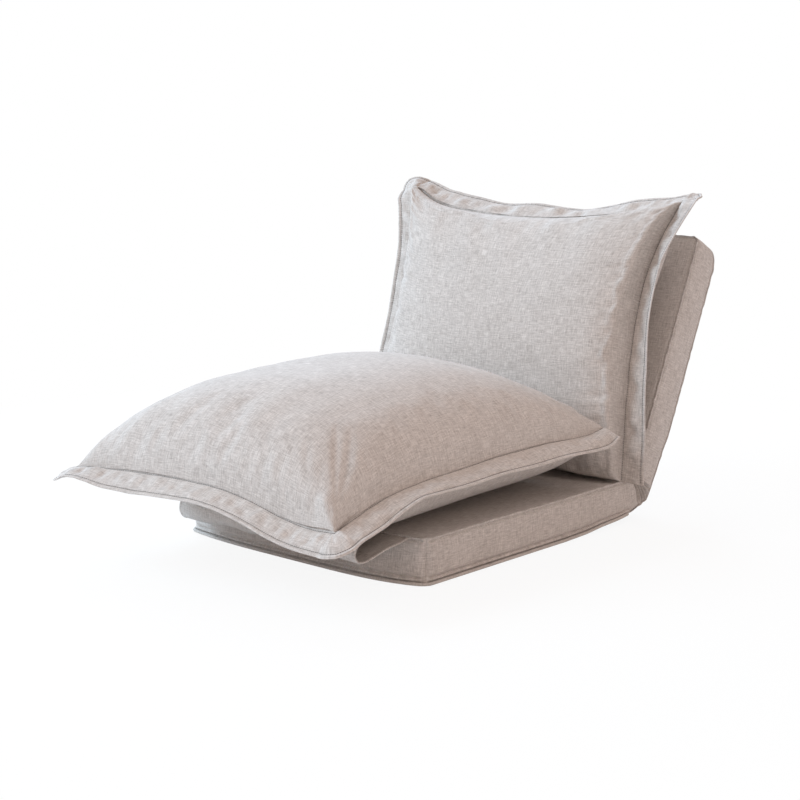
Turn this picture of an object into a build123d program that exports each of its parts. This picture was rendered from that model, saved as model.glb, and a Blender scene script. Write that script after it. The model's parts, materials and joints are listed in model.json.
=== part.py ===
"""Folding floor chair: two foam slabs on a steel frame with ratchet hinges, and two flanged cushions.

Millimetres, +Z up. X is across the chair, -Y is the way a sitter faces, and the origin is on the floor
under the middle of the seat slab. The chair is modelled as it stands in use, with the back reclined.
"""

import math
import os
from collections import namedtuple

from build123d import *

# Slabs: the seat lies on the floor, the back leans behind it
SLAB_WIDTH = 620.0
SLAB_THICKNESS = 88.0
SEAT_DEPTH = 690.0
BACK_HEIGHT = 561.0
RECLINE = 25.0
BEND_REACH = 50.0
SEAT_CORNER_RADIUS = 12.0
BACK_TOP_ROUND = 45.0
FABRIC = 1.5
FIT_GAP = 0.3
REST_GAP = 0.3
WELT_DIAMETER = 6.0
WELT_FLOOR_GAP = 0.5

# Steel frame inside each slab
TUBE_DIAMETER = 16.0
TUBE_WALL = 1.2
TUBE_CORNER = 60.0
TUBE_START = 62.0
RAIL_INSET = 45.0
CROSS_TUBE_DIAMETER = 14.0
CROSS_TUBE_INSET = 110.0
STRAP_WIDTH = 50.0
STRAP_THICKNESS = 1.6
STRAP_COUNT = 3

# Ratchet hinge at each end of the bend
PIVOT_DIAMETER = 10.0
PIVOT_HEAD_DIAMETER = 17.0
PIVOT_HEAD_HEIGHT = 2.5
RUNNING_FIT = 0.05
SIDE_PLAY = 0.2
SECTOR_THICKNESS = 5.0
SECTOR_TIP_RADIUS = 22.0
SECTOR_ROOT_RADIUS = 18.0
SECTOR_ARM_WIDTH = 14.0
SECTOR_TONGUE_WIDTH = 10.0
TOOTH_PITCH = 13.0
TOOTH_COUNT = 6
TOOTH_LOCK_ANGLES = (3.3, 5.2)
TOOTH_RAMP_ANGLES = (-1.0, -6.5)
CHEEK_THICKNESS = 2.2
CHEEK_RADIUS = 27.0
CHEEK_TONGUE_WIDTH = 7.0
TONGUE_LENGTH = 30.0
TAIL_RIVET_DIAMETER = 4.0
TAIL_RIVET_HEAD = 1.5
PAWL_PIN_DIAMETER = 6.0
PAWL_PIN_OUT = 26.0
PAWL_PIN_UP = 28.0
PAWL_BOSS_RADIUS = 6.0
PAWL_LIFT = 9.0
SPRING_STRIP = 0.8
SPRING_WIDTH = 4.0
SPRING_POST_DIAMETER = 5.0
SPRING_POST_OUT = 50.0
SPRING_POST_DOWN = 8.0
RATCHET_POCKET = 12.0
BEND_FOAM_CLEARANCE = 20.0

# Cushions: each has a flange on three sides and a plain edge at the fold of the chair
SEAM_HEIGHT = 8.0
FLANGE_WIDTH = 58.0
FLANGE_THICKNESS = 4.0
FLANGE_GAP = 0.8
CUSHION_STATIONS = 14
EDGE_RISE = 3.0
BELLY_POWER = 6.0
BELLY_FLAT_SHARE = 0.66
SHOULDER_SHARE = 0.92
BROW_SHARE = 0.7
CHEEK_SHARE = 0.6
BELLY_PRESS = 4.0

SEAT_CUSHION_LENGTH = 782.0
SEAT_CUSHION_BEFORE_HINGE = 163.0
SEAT_CUSHION_SIDE_OVER = 4.0
SEAT_CUSHION_DRAW_IN = 22.0
SEAT_CUSHION_EARS = 4.0
SEAT_CUSHION_CROWN = 175.0
SEAT_CUSHION_CROWN_LEAD = 0.39
SEAT_CUSHION_SEAM_REAR = 213.0
SEAT_CUSHION_SEAM_FRONT = 165.0
SEAT_CUSHION_SEAM_BOW = 3.0
SEAT_DOME_ACROSS = (2.1, 2.25)
SEAT_DOME_ALONG = (3.05, 1.92)
SEAT_FLANGE_DROOP = 18.0
SEAT_FLANGE_END_DROOP = 12.0

BACK_CUSHION_LENGTH = 545.0
BACK_CUSHION_SIDE_OVER = 10.0
BACK_CUSHION_DRAW_IN = 16.0
BACK_CUSHION_EARS = 34.0
BACK_CUSHION_CROWN = 106.0
BACK_CUSHION_SEAM_TOP = 14.0
BACK_CUSHION_SEAM_BOW = 10.0
BACK_DOME_ACROSS = (4.0, 4.0)
BACK_DOME_ALONG = (3.0, 3.0)
BACK_CUSHION_LEAN = 17.7
BACK_CUSHION_FOOT_OUT = 80.0
BACK_FLANGE_DROOP = -10.0
BACK_FLANGE_END_DROOP = 42.0

# Cloth flap that ties the seat cushion to the front of the seat
FLAP_SIDE_INSET = 38.0
FLAP_THICKNESS = 3.0
FLAP_REACH = 150.0
FLAP_SEWN_LENGTH = 60.0
FLAP_SAG = 20.0
FLAP_BELOW_EDGE = 6.0

# Values worked out from the sizes above
HALF = SLAB_THICKNESS / 2
HINGE_Y = SEAT_DEPTH / 2
SEAT_FRONT = -SEAT_DEPTH / 2
RAIL_X = SLAB_WIDTH / 2 - RAIL_INSET
TAIL_RIVET_AT = TUBE_START + TONGUE_LENGTH / 2
SIN = math.sin(math.radians(RECLINE))
COS = math.cos(math.radians(RECLINE))
HINGE = Vector(0, HINGE_Y, HALF)
# In a slab's plane, x is across, y leads away from the hinge and z points at the sitter
SEAT_PLANE = Plane(origin=HINGE, x_dir=(-1, 0, 0), z_dir=(0, 0, 1))
BACK_PLANE = Plane(origin=HINGE, x_dir=(1, 0, 0), z_dir=(0, -COS, SIN))

Slab = namedtuple("Slab", "prefix plane length end_round corner_radius face_name base_name")
SEAT = Slab("seat", SEAT_PLANE, SEAT_DEPTH, 0, SEAT_CORNER_RADIUS, "seat_top_panel", "seat_base_panel")
BACK = Slab("back", BACK_PLANE, BACK_HEIGHT, BACK_TOP_ROUND, 0, "back_front_panel", "back_rear_panel")

os.makedirs("parts", exist_ok=True)


def write(part, name):
    """Labels a finished piece and writes its STEP file."""
    part.label = name
    export_step(part, f"parts/{name}.step")


def side_plane(plane, across=0.0):
    """The plane of a slab's side view: x leads away from the hinge and y points at the sitter."""
    return Plane(origin=plane.from_local_coords(Vector(across, 0, 0)), x_dir=plane.y_dir, z_dir=plane.x_dir)


def slab_block(slab, inset, near):
    """The slab's outside, moved in by inset, from near to its far end."""
    plane = slab.plane
    far = slab.length - inset
    half = HALF - inset
    with BuildPart() as block:
        with BuildSketch(side_plane(plane)) as profile:
            with Locations(((near + far) / 2, 0)):
                Rectangle(far - near, 2 * half)
            if slab.end_round:
                far_rear = profile.vertices().group_by(Axis.X)[-1].sort_by(Axis.Y)[0]
                fillet(far_rear, radius=slab.end_round - inset)
        extrude(amount=SLAB_WIDTH / 2 - inset, both=True)
        if slab.corner_radius:
            upright = block.edges().filter_by(Axis(plane.origin, plane.z_dir))
            far_corners = upright.sort_by(Axis(plane.origin, plane.y_dir))[-2:]
            fillet(far_corners, radius=slab.corner_radius - inset)
    return block.part


def make_cover(slab):
    """Sews the slab's cover from a face panel, a side band and a base panel."""
    face_cut = slab.plane.offset(HALF - FABRIC)
    base_cut = slab.plane.offset(FABRIC - HALF)
    with BuildPart() as sleeve:
        add(slab_block(slab, 0, BEND_REACH))
        add(slab_block(slab, FABRIC, BEND_REACH - FABRIC), mode=Mode.SUBTRACT)
    with BuildPart() as face_panel:
        add(sleeve.part)
        split(bisect_by=face_cut, keep=Keep.TOP)
    with BuildPart() as base_panel:
        add(sleeve.part)
        split(bisect_by=base_cut, keep=Keep.BOTTOM)
    with BuildPart() as side_band:
        add(sleeve.part)
        split(bisect_by=face_cut, keep=Keep.BOTTOM)
        split(bisect_by=base_cut, keep=Keep.TOP)
    write(face_panel.part, slab.face_name)
    write(side_band.part, f"{slab.prefix}_side_band")
    write(base_panel.part, slab.base_name)


def frame_path(length):
    """The bent frame's three runs, in the slab's plane: up one rail, across the far end and down the other."""
    far = length - RAIL_INSET
    return [(-RAIL_X, TUBE_START), (-RAIL_X, far), (RAIL_X, far), (RAIL_X, TUBE_START)]


def bent_tube(plane, length, radius, bore):
    """A round bar or, with a bore, a tube along the frame's path."""
    with BuildPart() as tube:
        with BuildLine(plane):
            FilletPolyline(*frame_path(length), radius=TUBE_CORNER)
        start = plane.from_local_coords(Vector(-RAIL_X, TUBE_START, 0))
        with BuildSketch(Plane(origin=start, z_dir=plane.y_dir)):
            Circle(radius)
            if bore:
                Circle(bore, mode=Mode.SUBTRACT)
        sweep()
    return tube.part


def cross_tube_places(length):
    """Where the two cross tubes stand, measured from the hinge."""
    return (CROSS_TUBE_INSET, length - RAIL_INSET - CROSS_TUBE_INSET)


def strap_places(length):
    """Straps stand evenly between the two cross tubes."""
    first, last = cross_tube_places(length)
    step = (last - first) / (STRAP_COUNT + 1)
    return [first + step * (i + 1) for i in range(STRAP_COUNT)]


def cross_bars(plane, length, radius, reach):
    """Round bars from rail to rail."""
    with BuildPart() as bars:
        for place in cross_tube_places(length):
            with BuildSketch(side_plane(plane)):
                with Locations((place, 0)):
                    Circle(radius)
        extrude(amount=reach, both=True)
    return bars.part


def make_frame(slab):
    """The bent tube, the cross tubes welded between its rails and the webbing straps looped round them."""
    plane, length = slab.plane, slab.length
    tube_radius = TUBE_DIAMETER / 2
    with BuildPart() as frame:
        add(bent_tube(plane, length, tube_radius, tube_radius - TUBE_WALL))
        with BuildSketch(side_plane(plane)):
            with Locations((TAIL_RIVET_AT, 0)):
                Circle(TAIL_RIVET_DIAMETER / 2 + RUNNING_FIT)
        extrude(amount=SLAB_WIDTH / 2, both=True, mode=Mode.SUBTRACT)
    write(frame.part, f"{slab.prefix}_frame")
    with BuildPart() as cross_tubes:
        add(cross_bars(plane, length, CROSS_TUBE_DIAMETER / 2, RAIL_X))
        add(cross_bars(plane, length, CROSS_TUBE_DIAMETER / 2 - TUBE_WALL, RAIL_X), mode=Mode.SUBTRACT)
        add(bent_tube(plane, length, tube_radius, 0), mode=Mode.SUBTRACT)
    write(cross_tubes.part, f"{slab.prefix}_cross_tubes")
    loop_radius = tube_radius + FIT_GAP
    with BuildPart() as straps:
        for place in strap_places(length):
            middle = plane.from_local_coords(Vector(0, place, 0))
            with BuildSketch(Plane(origin=middle, x_dir=plane.x_dir, z_dir=plane.y_dir)):
                SlotCenterToCenter(2 * RAIL_X, 2 * (loop_radius + STRAP_THICKNESS))
                SlotCenterToCenter(2 * RAIL_X, 2 * loop_radius, mode=Mode.SUBTRACT)
            extrude(amount=STRAP_WIDTH / 2, both=True)
    write(straps.part, f"{slab.prefix}_straps")


def make_foam(slab):
    """Two foam layers, grooved where they close round the frame and pocketed at the ratchets."""
    plane, length = slab.plane, slab.length
    skin = FABRIC + FIT_GAP
    strap_half = TUBE_DIAMETER / 2 + FIT_GAP + STRAP_THICKNESS + FIT_GAP
    pocket_end = TUBE_START + TONGUE_LENGTH
    with BuildPart() as grooved:
        add(slab_block(slab, skin, BEND_REACH))
        add(bent_tube(plane, length, TUBE_DIAMETER / 2 + FIT_GAP, 0), mode=Mode.SUBTRACT)
        add(cross_bars(plane, length, CROSS_TUBE_DIAMETER / 2 + FIT_GAP, RAIL_X), mode=Mode.SUBTRACT)
        with BuildSketch(plane):
            with Locations(*[(0, place) for place in strap_places(length)]):
                Rectangle(2 * (RAIL_X + strap_half), STRAP_WIDTH + 2 * FIT_GAP)
        extrude(amount=strap_half, both=True, mode=Mode.SUBTRACT)
        with BuildSketch(plane):
            with Locations((-RAIL_X, pocket_end / 2), (RAIL_X, pocket_end / 2)):
                Rectangle(2 * RATCHET_POCKET, pocket_end)
        extrude(amount=HALF - skin - FIT_GAP, both=True, mode=Mode.SUBTRACT)
    for side, keep in (("face", Keep.TOP), ("base", Keep.BOTTOM)):
        with BuildPart() as layer:
            add(grooved.part)
            split(bisect_by=plane, keep=keep)
        write(layer.part, f"{slab.prefix}_foam_{side}")


def make_welt():
    """The piping round the seat's lower edge, from bend to bend, just proud of the band."""
    radius = WELT_DIAMETER / 2
    out = SLAB_WIDTH / 2 + FIT_GAP + radius
    front = SEAT_DEPTH + FIT_GAP + radius
    height = radius + WELT_FLOOR_GAP
    runs = [(-out, BEND_REACH), (-out, front), (out, front), (out, BEND_REACH)]
    welt_plane = SEAT_PLANE.offset(height - HALF)
    with BuildPart() as welt:
        with BuildLine(welt_plane):
            FilletPolyline(*runs, radius=SEAT_CORNER_RADIUS + FIT_GAP + radius)
        start = welt_plane.from_local_coords(Vector(-out, BEND_REACH, 0))
        with BuildSketch(Plane(origin=start, z_dir=SEAT_PLANE.y_dir)):
            Circle(radius)
        sweep()
    write(welt.part, "seat_welt")


def bend_profile(half, reach):
    """Outline of the bend between the slabs, in a side view centred on the hinge, with y up."""
    lean = (SIN, COS)
    front = (-COS, SIN)
    crease = half * (1 - SIN) / COS
    turn = math.radians((-90 - RECLINE) / 2)

    def at(along, across):
        return (along * lean[0] + across * front[0], along * lean[1] + across * front[1])

    with BuildLine() as outline:
        Line((-reach, half), (-reach, -half))
        Line((-reach, -half), (0, -half))
        ThreePointArc((0, -half), (half * math.cos(turn), half * math.sin(turn)), at(0, -half))
        Polyline(at(0, -half), at(reach, -half), at(reach, half), at(crease, half), (-reach, half))
    return outline.line


def bend_block(half, reach, near, far):
    """The bend's outline made solid from near to far across the chair."""
    with BuildPart() as block:
        with BuildSketch(Plane(origin=(near, HINGE_Y, HALF), x_dir=(0, 1, 0), z_dir=(1, 0, 0))):
            with BuildLine():
                add(bend_profile(half, reach))
            make_face()
        extrude(amount=far - near)
    return block.part


def make_bend():
    """The soft fold: a foam core, the cover round it inside and out, and the gathered side gussets."""
    edge = SLAB_WIDTH / 2
    core = RAIL_X - BEND_FOAM_CLEARANCE
    skin = FABRIC + FIT_GAP
    write(bend_block(HALF - skin, BEND_REACH - FIT_GAP, -core, core), "bend_foam")
    with BuildPart() as gussets:
        add(bend_block(HALF, BEND_REACH, edge - FABRIC, edge))
        mirror(about=Plane.YZ)
    write(gussets.part, "bend_gussets")
    with BuildPart() as wrap:
        add(bend_block(HALF, BEND_REACH, FABRIC - edge, edge - FABRIC))
        add(bend_block(HALF - FABRIC, 2 * BEND_REACH, FABRIC - edge, edge - FABRIC), mode=Mode.SUBTRACT)
    outer, crease = wrap.part.solids().sort_by(Axis.Z)
    write(Part([outer]), "bend_outer_panel")
    write(Part([crease]), "bend_crease_panel")


def hinge_side(across):
    """Side view of the ratchet at that place across the chair: x is +Y and y is +Z from the hinge axis."""
    return Plane(origin=(across, HINGE_Y, HALF), x_dir=(0, 1, 0), z_dir=(1, 0, 0))


def polar(radius, degrees):
    """A point of the ratchet's side view, from its distance and bearing at the hinge axis."""
    return (radius * math.cos(math.radians(degrees)), radius * math.sin(math.radians(degrees)))


CHEEK_OFFSET = SECTOR_THICKNESS / 2 + SIDE_PLAY
STACK_HALF = CHEEK_OFFSET + CHEEK_THICKNESS
PAWL_PIN = (-PAWL_PIN_OUT, PAWL_PIN_UP)
SPRING_POST = (-SPRING_POST_OUT, -SPRING_POST_DOWN)
TAIL_RIVET = (-TAIL_RIVET_AT, 0)


def make_cheeks():
    """Two side plates to each ratchet, with tongues that plug into the ends of the seat frame."""
    with BuildPart() as cheeks:
        for place in (RAIL_X - STACK_HALF, RAIL_X + CHEEK_OFFSET):
            with BuildSketch(hinge_side(place)):
                Circle(CHEEK_RADIUS)
                with Locations(PAWL_PIN):
                    Circle(PAWL_BOSS_RADIUS + CHEEK_THICKNESS)
                with Locations(SPRING_POST):
                    Circle(SPRING_POST_DIAMETER)
                make_hull()
                with Locations((-(TUBE_START + TONGUE_LENGTH) / 2, 0)):
                    Rectangle(TUBE_START + TONGUE_LENGTH, CHEEK_TONGUE_WIDTH)
                Circle(PIVOT_DIAMETER / 2 + RUNNING_FIT, mode=Mode.SUBTRACT)
                with Locations(PAWL_PIN):
                    Circle(PAWL_PIN_DIAMETER / 2 + RUNNING_FIT, mode=Mode.SUBTRACT)
                with Locations(SPRING_POST):
                    Circle(SPRING_POST_DIAMETER / 2 + RUNNING_FIT, mode=Mode.SUBTRACT)
                with Locations(TAIL_RIVET):
                    Circle(TAIL_RIVET_DIAMETER / 2 + RUNNING_FIT, mode=Mode.SUBTRACT)
            extrude(amount=CHEEK_THICKNESS)
        mirror(about=Plane.YZ)
    write(cheeks.part, "ratchet_cheeks")


def make_sectors():
    """Toothed plates on the back frame: round heads with ratchet notches, and arms that plug into the tubes."""
    arm_turn = 90 - RECLINE
    lock, ramp = TOOTH_LOCK_ANGLES, TOOTH_RAMP_ANGLES
    mouth = SECTOR_TIP_RADIUS + FIT_GAP
    arm_end = TUBE_START - FIT_GAP
    with BuildPart() as sectors:
        with BuildSketch(hinge_side(RAIL_X - SECTOR_THICKNESS / 2)):
            Circle(SECTOR_TIP_RADIUS)
            with Locations(Location((0, 0), arm_turn)):
                with Locations((arm_end / 2, 0)):
                    Rectangle(arm_end, SECTOR_ARM_WIDTH)
                with Locations(((TUBE_START + TONGUE_LENGTH) / 2, 0)):
                    Rectangle(TUBE_START + TONGUE_LENGTH, SECTOR_TONGUE_WIDTH)
                with Locations((TAIL_RIVET_AT, 0)):
                    Circle(TAIL_RIVET_DIAMETER / 2 + RUNNING_FIT, mode=Mode.SUBTRACT)
            for tooth in range(TOOTH_COUNT):
                bearing = 180 + tooth * TOOTH_PITCH
                with BuildLine():
                    Polyline(
                        polar(SECTOR_ROOT_RADIUS, bearing + lock[0]),
                        polar(mouth, bearing + lock[1]),
                        polar(mouth, bearing + ramp[1]),
                        polar(SECTOR_ROOT_RADIUS, bearing + ramp[0]),
                        close=True,
                    )
                make_face(mode=Mode.SUBTRACT)
            Circle(PIVOT_DIAMETER / 2 + RUNNING_FIT, mode=Mode.SUBTRACT)
        extrude(amount=SECTOR_THICKNESS)
        mirror(about=Plane.YZ)
    write(sectors.part, "ratchet_sectors")


def make_pawls():
    """Pawls, drawn seated in a notch and then lifted about their pins until they ride clear of the teeth."""
    lock, ramp = TOOTH_LOCK_ANGLES, TOOTH_RAMP_ANGLES
    root = SECTOR_ROOT_RADIUS + FIT_GAP
    tip = SECTOR_TIP_RADIUS + FIT_GAP
    gap_angle = math.degrees(FIT_GAP / SECTOR_ROOT_RADIUS)
    boss = PAWL_BOSS_RADIUS
    pin_y, pin_z = PAWL_PIN
    neck = polar(tip + boss / 2, 180 + 2 * ramp[1])
    heel = polar(tip + boss, 180 + ramp[1])
    with BuildPart() as pawls:
        with BuildSketch(hinge_side(RAIL_X - SECTOR_THICKNESS / 2), mode=Mode.PRIVATE) as seated:
            with BuildLine():
                Polyline(
                    polar(root, 180 + lock[0] - gap_angle),
                    polar(root, 180 + ramp[0] + gap_angle),
                    polar(tip, 180 + ramp[1] + 2 * gap_angle),
                    neck,
                    (pin_y + boss, pin_z),
                    (pin_y - boss, pin_z),
                    heel,
                    polar(tip, 180 + lock[1] - gap_angle),
                    close=True,
                )
            make_face()
            with Locations(PAWL_PIN):
                Circle(boss)
                Circle(PAWL_PIN_DIAMETER / 2 + RUNNING_FIT, mode=Mode.SUBTRACT)
        pin_axis = Axis(hinge_side(RAIL_X).from_local_coords(Vector(pin_y, pin_z, 0)), (1, 0, 0))
        add(seated.sketch.rotate(pin_axis, -PAWL_LIFT))
        extrude(amount=SECTOR_THICKNESS, dir=(1, 0, 0))
        mirror(about=Plane.YZ)
    write(pawls.part, "ratchet_pawls")


def make_springs():
    """A leaf spring to each pawl, from a post on the cheeks to the back of the pawl."""
    root = (SPRING_POST[0], SPRING_POST[1] + SPRING_POST_DIAMETER / 2 + SPRING_STRIP)
    touch = polar(SECTOR_TIP_RADIUS + 2 * PAWL_BOSS_RADIUS, 180 + 2 * TOOTH_RAMP_ANGLES[1])
    bow = ((root[0] + touch[0]) / 2, root[1])
    with BuildPart() as springs:
        with BuildSketch(hinge_side(RAIL_X)):
            with BuildLine():
                Polyline((root[0] - SPRING_POST_DIAMETER / 2, root[1]), bow, touch)
            trace(line_width=SPRING_STRIP)
        extrude(amount=SPRING_WIDTH / 2, both=True)
        mirror(about=Plane.YZ)
    write(springs.part, "pawl_springs")


def rivet_set(place, diameter, half_length, head_diameter, head_height, name):
    """A headed rivet through each ratchet at a place in its side view, one on each side of the chair."""
    with BuildPart() as rivets:
        with BuildSketch(hinge_side(RAIL_X)):
            with Locations(place):
                Circle(diameter / 2)
        extrude(amount=half_length, both=True)
        for start, way in ((half_length, 1), (-half_length, -1)):
            with BuildSketch(hinge_side(RAIL_X + start)):
                with Locations(place):
                    Circle(head_diameter / 2)
            extrude(amount=way * head_height)
        mirror(about=Plane.YZ)
    write(rivets.part, name)


def make_rivets():
    """Pivots, pawl pins, spring posts and the rivets that hold the plates in the tubes."""
    stack = STACK_HALF + RUNNING_FIT
    wall = TUBE_DIAMETER / 2
    tail_head = 2 * TAIL_RIVET_DIAMETER
    pin_head = PAWL_PIN_DIAMETER + 2 * RUNNING_FIT + CHEEK_THICKNESS
    post_head = SPRING_POST_DIAMETER + 2 * RUNNING_FIT + CHEEK_THICKNESS
    rivet_set((0, 0), PIVOT_DIAMETER, stack, PIVOT_HEAD_DIAMETER, PIVOT_HEAD_HEIGHT, "pivot_rivets")
    rivet_set(PAWL_PIN, PAWL_PIN_DIAMETER, stack, pin_head, TAIL_RIVET_HEAD, "pawl_pins")
    rivet_set(SPRING_POST, SPRING_POST_DIAMETER, stack, post_head, TAIL_RIVET_HEAD, "spring_posts")
    rivet_set(TAIL_RIVET, TAIL_RIVET_DIAMETER, wall, tail_head, TAIL_RIVET_HEAD, "seat_tail_rivets")
    back_place = polar(TAIL_RIVET_AT, 90 - RECLINE)
    rivet_set(back_place, TAIL_RIVET_DIAMETER, wall, tail_head, TAIL_RIVET_HEAD, "back_tail_rivets")


# A cushion's plane: x is across, y leads from its plain edge to its flanged end, z points at the sitter
CUSHION_SIZES = "length half_width draw_in ears seam_start seam_end seam_bow crown lead belly droop end_droop"
Cushion = namedtuple("Cushion", f"plane rests across_form along_form {CUSHION_SIZES}")


def fullness(share, power, root):
    """Height of a stuffed form at a share of the way to its edge: 1 in the middle, 0 at the edge."""
    return (1 - abs(share) ** power) ** (1 / root)


def station_shares():
    """Shares of a cushion's length, closer together towards its ends."""
    return [(1 - math.cos(math.pi * i / CUSHION_STATIONS)) / 2 for i in range(CUSHION_STATIONS + 1)]


def station(cushion, share):
    """Place, half width and seam height at a share of the length: drawn in midway, with ears at the far end."""
    waist = 4 * share * (1 - share)
    half_width = cushion.half_width - cushion.draw_in * waist + cushion.ears * share**6
    seam = cushion.seam_start + (cushion.seam_end - cushion.seam_start) * share + cushion.seam_bow * waist
    return cushion.length * share, half_width, seam


def section_points(half_width, seam, crown, belly, across_form):
    """Right half of a cross-section: from its seam edge up to the crown, and from its seam edge down."""
    top = seam + SEAM_HEIGHT / 2
    under = seam - SEAM_HEIGHT / 2
    flat = BELLY_FLAT_SHARE * half_width
    cheek = half_width - (half_width - flat) / 4

    def dome(share):
        return (share * half_width, top + crown * fullness(share, *across_form))

    upper = [(half_width, top), dome(SHOULDER_SHARE), dome(BROW_SHARE), (0, top + crown)]
    lower = [(half_width, under), (cheek, under - belly * CHEEK_SHARE), (flat, under - belly)]
    return upper, lower


def cushion_form(cushion):
    """The stuffed form in the cushion's own coordinates, pressed flat where it rests."""
    to_cushion = cushion.plane.location.inverse()
    with BuildPart() as form:
        for share in station_shares():
            along, half_width, seam = station(cushion, share)
            middle = 2 * share - 1
            rise = 2 * (share - cushion.lead * share * (1 - share)) - 1
            crown = max(EDGE_RISE, (cushion.crown - SEAM_HEIGHT / 2) * fullness(rise, *cushion.along_form))
            belly = max(EDGE_RISE, cushion.belly(along, seam) * fullness(middle, BELLY_POWER, BELLY_POWER))
            upper, lower = section_points(half_width, seam, crown, belly, cushion.across_form)
            left_upper = [(-x, z) for x, z in upper]
            left_lower = [(-x, z) for x, z in lower]
            with BuildSketch(Plane(origin=(0, along, 0), x_dir=(1, 0, 0), z_dir=(0, -1, 0))):
                with BuildLine():
                    ThreePointArc(upper[0], upper[1], upper[2])
                    ThreePointArc(upper[2], upper[3], left_upper[2])
                    ThreePointArc(left_upper[2], left_upper[1], left_upper[0])
                    Line(left_upper[0], left_lower[0])
                    ThreePointArc(left_lower[0], left_lower[1], left_lower[2])
                    Line(left_lower[2], lower[2])
                    ThreePointArc(lower[2], lower[1], lower[0])
                    Line(lower[0], upper[0])
                make_face()
        loft(ruled=True)
        for rest in cushion.rests:
            split(bisect_by=Plane(to_cushion * rest.location), keep=Keep.TOP)
    return form.part


def shrunk(form, inset):
    """The form drawn in on every side by about the inset."""
    box = form.bounding_box()
    middle = box.center()
    factors = (1 - 2 * inset / box.size.X, 1 - 2 * inset / box.size.Y, 1 - 2 * inset / box.size.Z)
    recentre = [place * (1 - factor) for place, factor in zip(middle, factors)]
    return Location(recentre) * scale(form, by=factors, mode=Mode.PRIVATE)


def flange_strip(cushion):
    """Two layers of cloth sewn flat beyond the seam, along both sides and round the flanged end."""
    half_sheet = FLANGE_THICKNESS / 2
    droop = cushion.droop
    out = math.sqrt(FLANGE_WIDTH**2 - droop**2)
    stations = [station(cushion, share) for share in station_shares()]
    end, end_width, end_seam = stations[-1]
    far = end + FLANGE_GAP
    spans = CUSHION_STATIONS // 2
    sides = [(half + FLANGE_GAP, half + out, along, seam) for along, half, seam in stations[:-1]]
    inner = [(near, along, seam) for near, edge, along, seam in sides]
    outer = [(edge, along, seam - droop) for near, edge, along, seam in sides]
    for i in range(spans + 1):
        share = 1 - 2 * i / spans
        inward = 1 - share**2
        fall = droop + (cushion.end_droop - droop) * inward
        reach = math.sqrt(FLANGE_WIDTH**2 - fall**2) - cushion.draw_in * inward
        inner.append((share * (end_width + FLANGE_GAP), far, end_seam))
        outer.append((share * (end_width + out), far + reach, end_seam - fall))
    inner += [(-near, along, seam) for near, edge, along, seam in reversed(sides)]
    outer += [(-edge, along, seam - droop) for near, edge, along, seam in reversed(sides)]
    with BuildPart() as strip:
        for near, edge in zip(inner, outer):
            span = Vector(edge[0] - near[0], edge[1] - near[1], 0)
            fall = edge[2] - near[2]
            reach = span.length
            with BuildSketch(Plane(origin=near, x_dir=span, z_dir=span.cross(Vector(0, 0, 1)))):
                with BuildLine():
                    Polyline(
                        (0, half_sheet), (reach, fall + half_sheet), (reach, fall - half_sheet), (0, -half_sheet),
                        close=True,
                    )
                make_face()
        loft(ruled=True)
    return strip.part


def make_cushion(cushion, prefix):
    """A cover, the stuffed insert inside it and the flange round three of its sides."""
    place = cushion.plane.location
    form = cushion_form(cushion)
    with BuildPart() as cover:
        add(form)
        add(shrunk(form, FABRIC), mode=Mode.SUBTRACT)
    write(place * cover.part, f"{prefix}_cover")
    write(place * shrunk(form, FABRIC + 2 * FIT_GAP), f"{prefix}_insert")
    write(place * flange_strip(cushion), f"{prefix}_flange")


def seat_cushion():
    """Lies on the seat slab and reaches out over its front edge."""
    return Cushion(
        plane=Plane(origin=(0, HINGE_Y - SEAT_CUSHION_BEFORE_HINGE, 0), x_dir=(-1, 0, 0), z_dir=(0, 0, 1)),
        rests=[SEAT_PLANE.offset(HALF + REST_GAP)],
        across_form=SEAT_DOME_ACROSS,
        along_form=SEAT_DOME_ALONG,
        length=SEAT_CUSHION_LENGTH,
        half_width=SLAB_WIDTH / 2 + SEAT_CUSHION_SIDE_OVER,
        draw_in=SEAT_CUSHION_DRAW_IN,
        ears=SEAT_CUSHION_EARS,
        seam_start=SEAT_CUSHION_SEAM_REAR,
        seam_end=SEAT_CUSHION_SEAM_FRONT,
        seam_bow=SEAT_CUSHION_SEAM_BOW,
        crown=SEAT_CUSHION_CROWN,
        lead=SEAT_CUSHION_CROWN_LEAD,
        belly=lambda along, seam: seam - SEAM_HEIGHT / 2 - SLAB_THICKNESS + BELLY_PRESS,
        droop=SEAT_FLANGE_DROOP,
        end_droop=SEAT_FLANGE_END_DROOP,
    )


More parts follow.
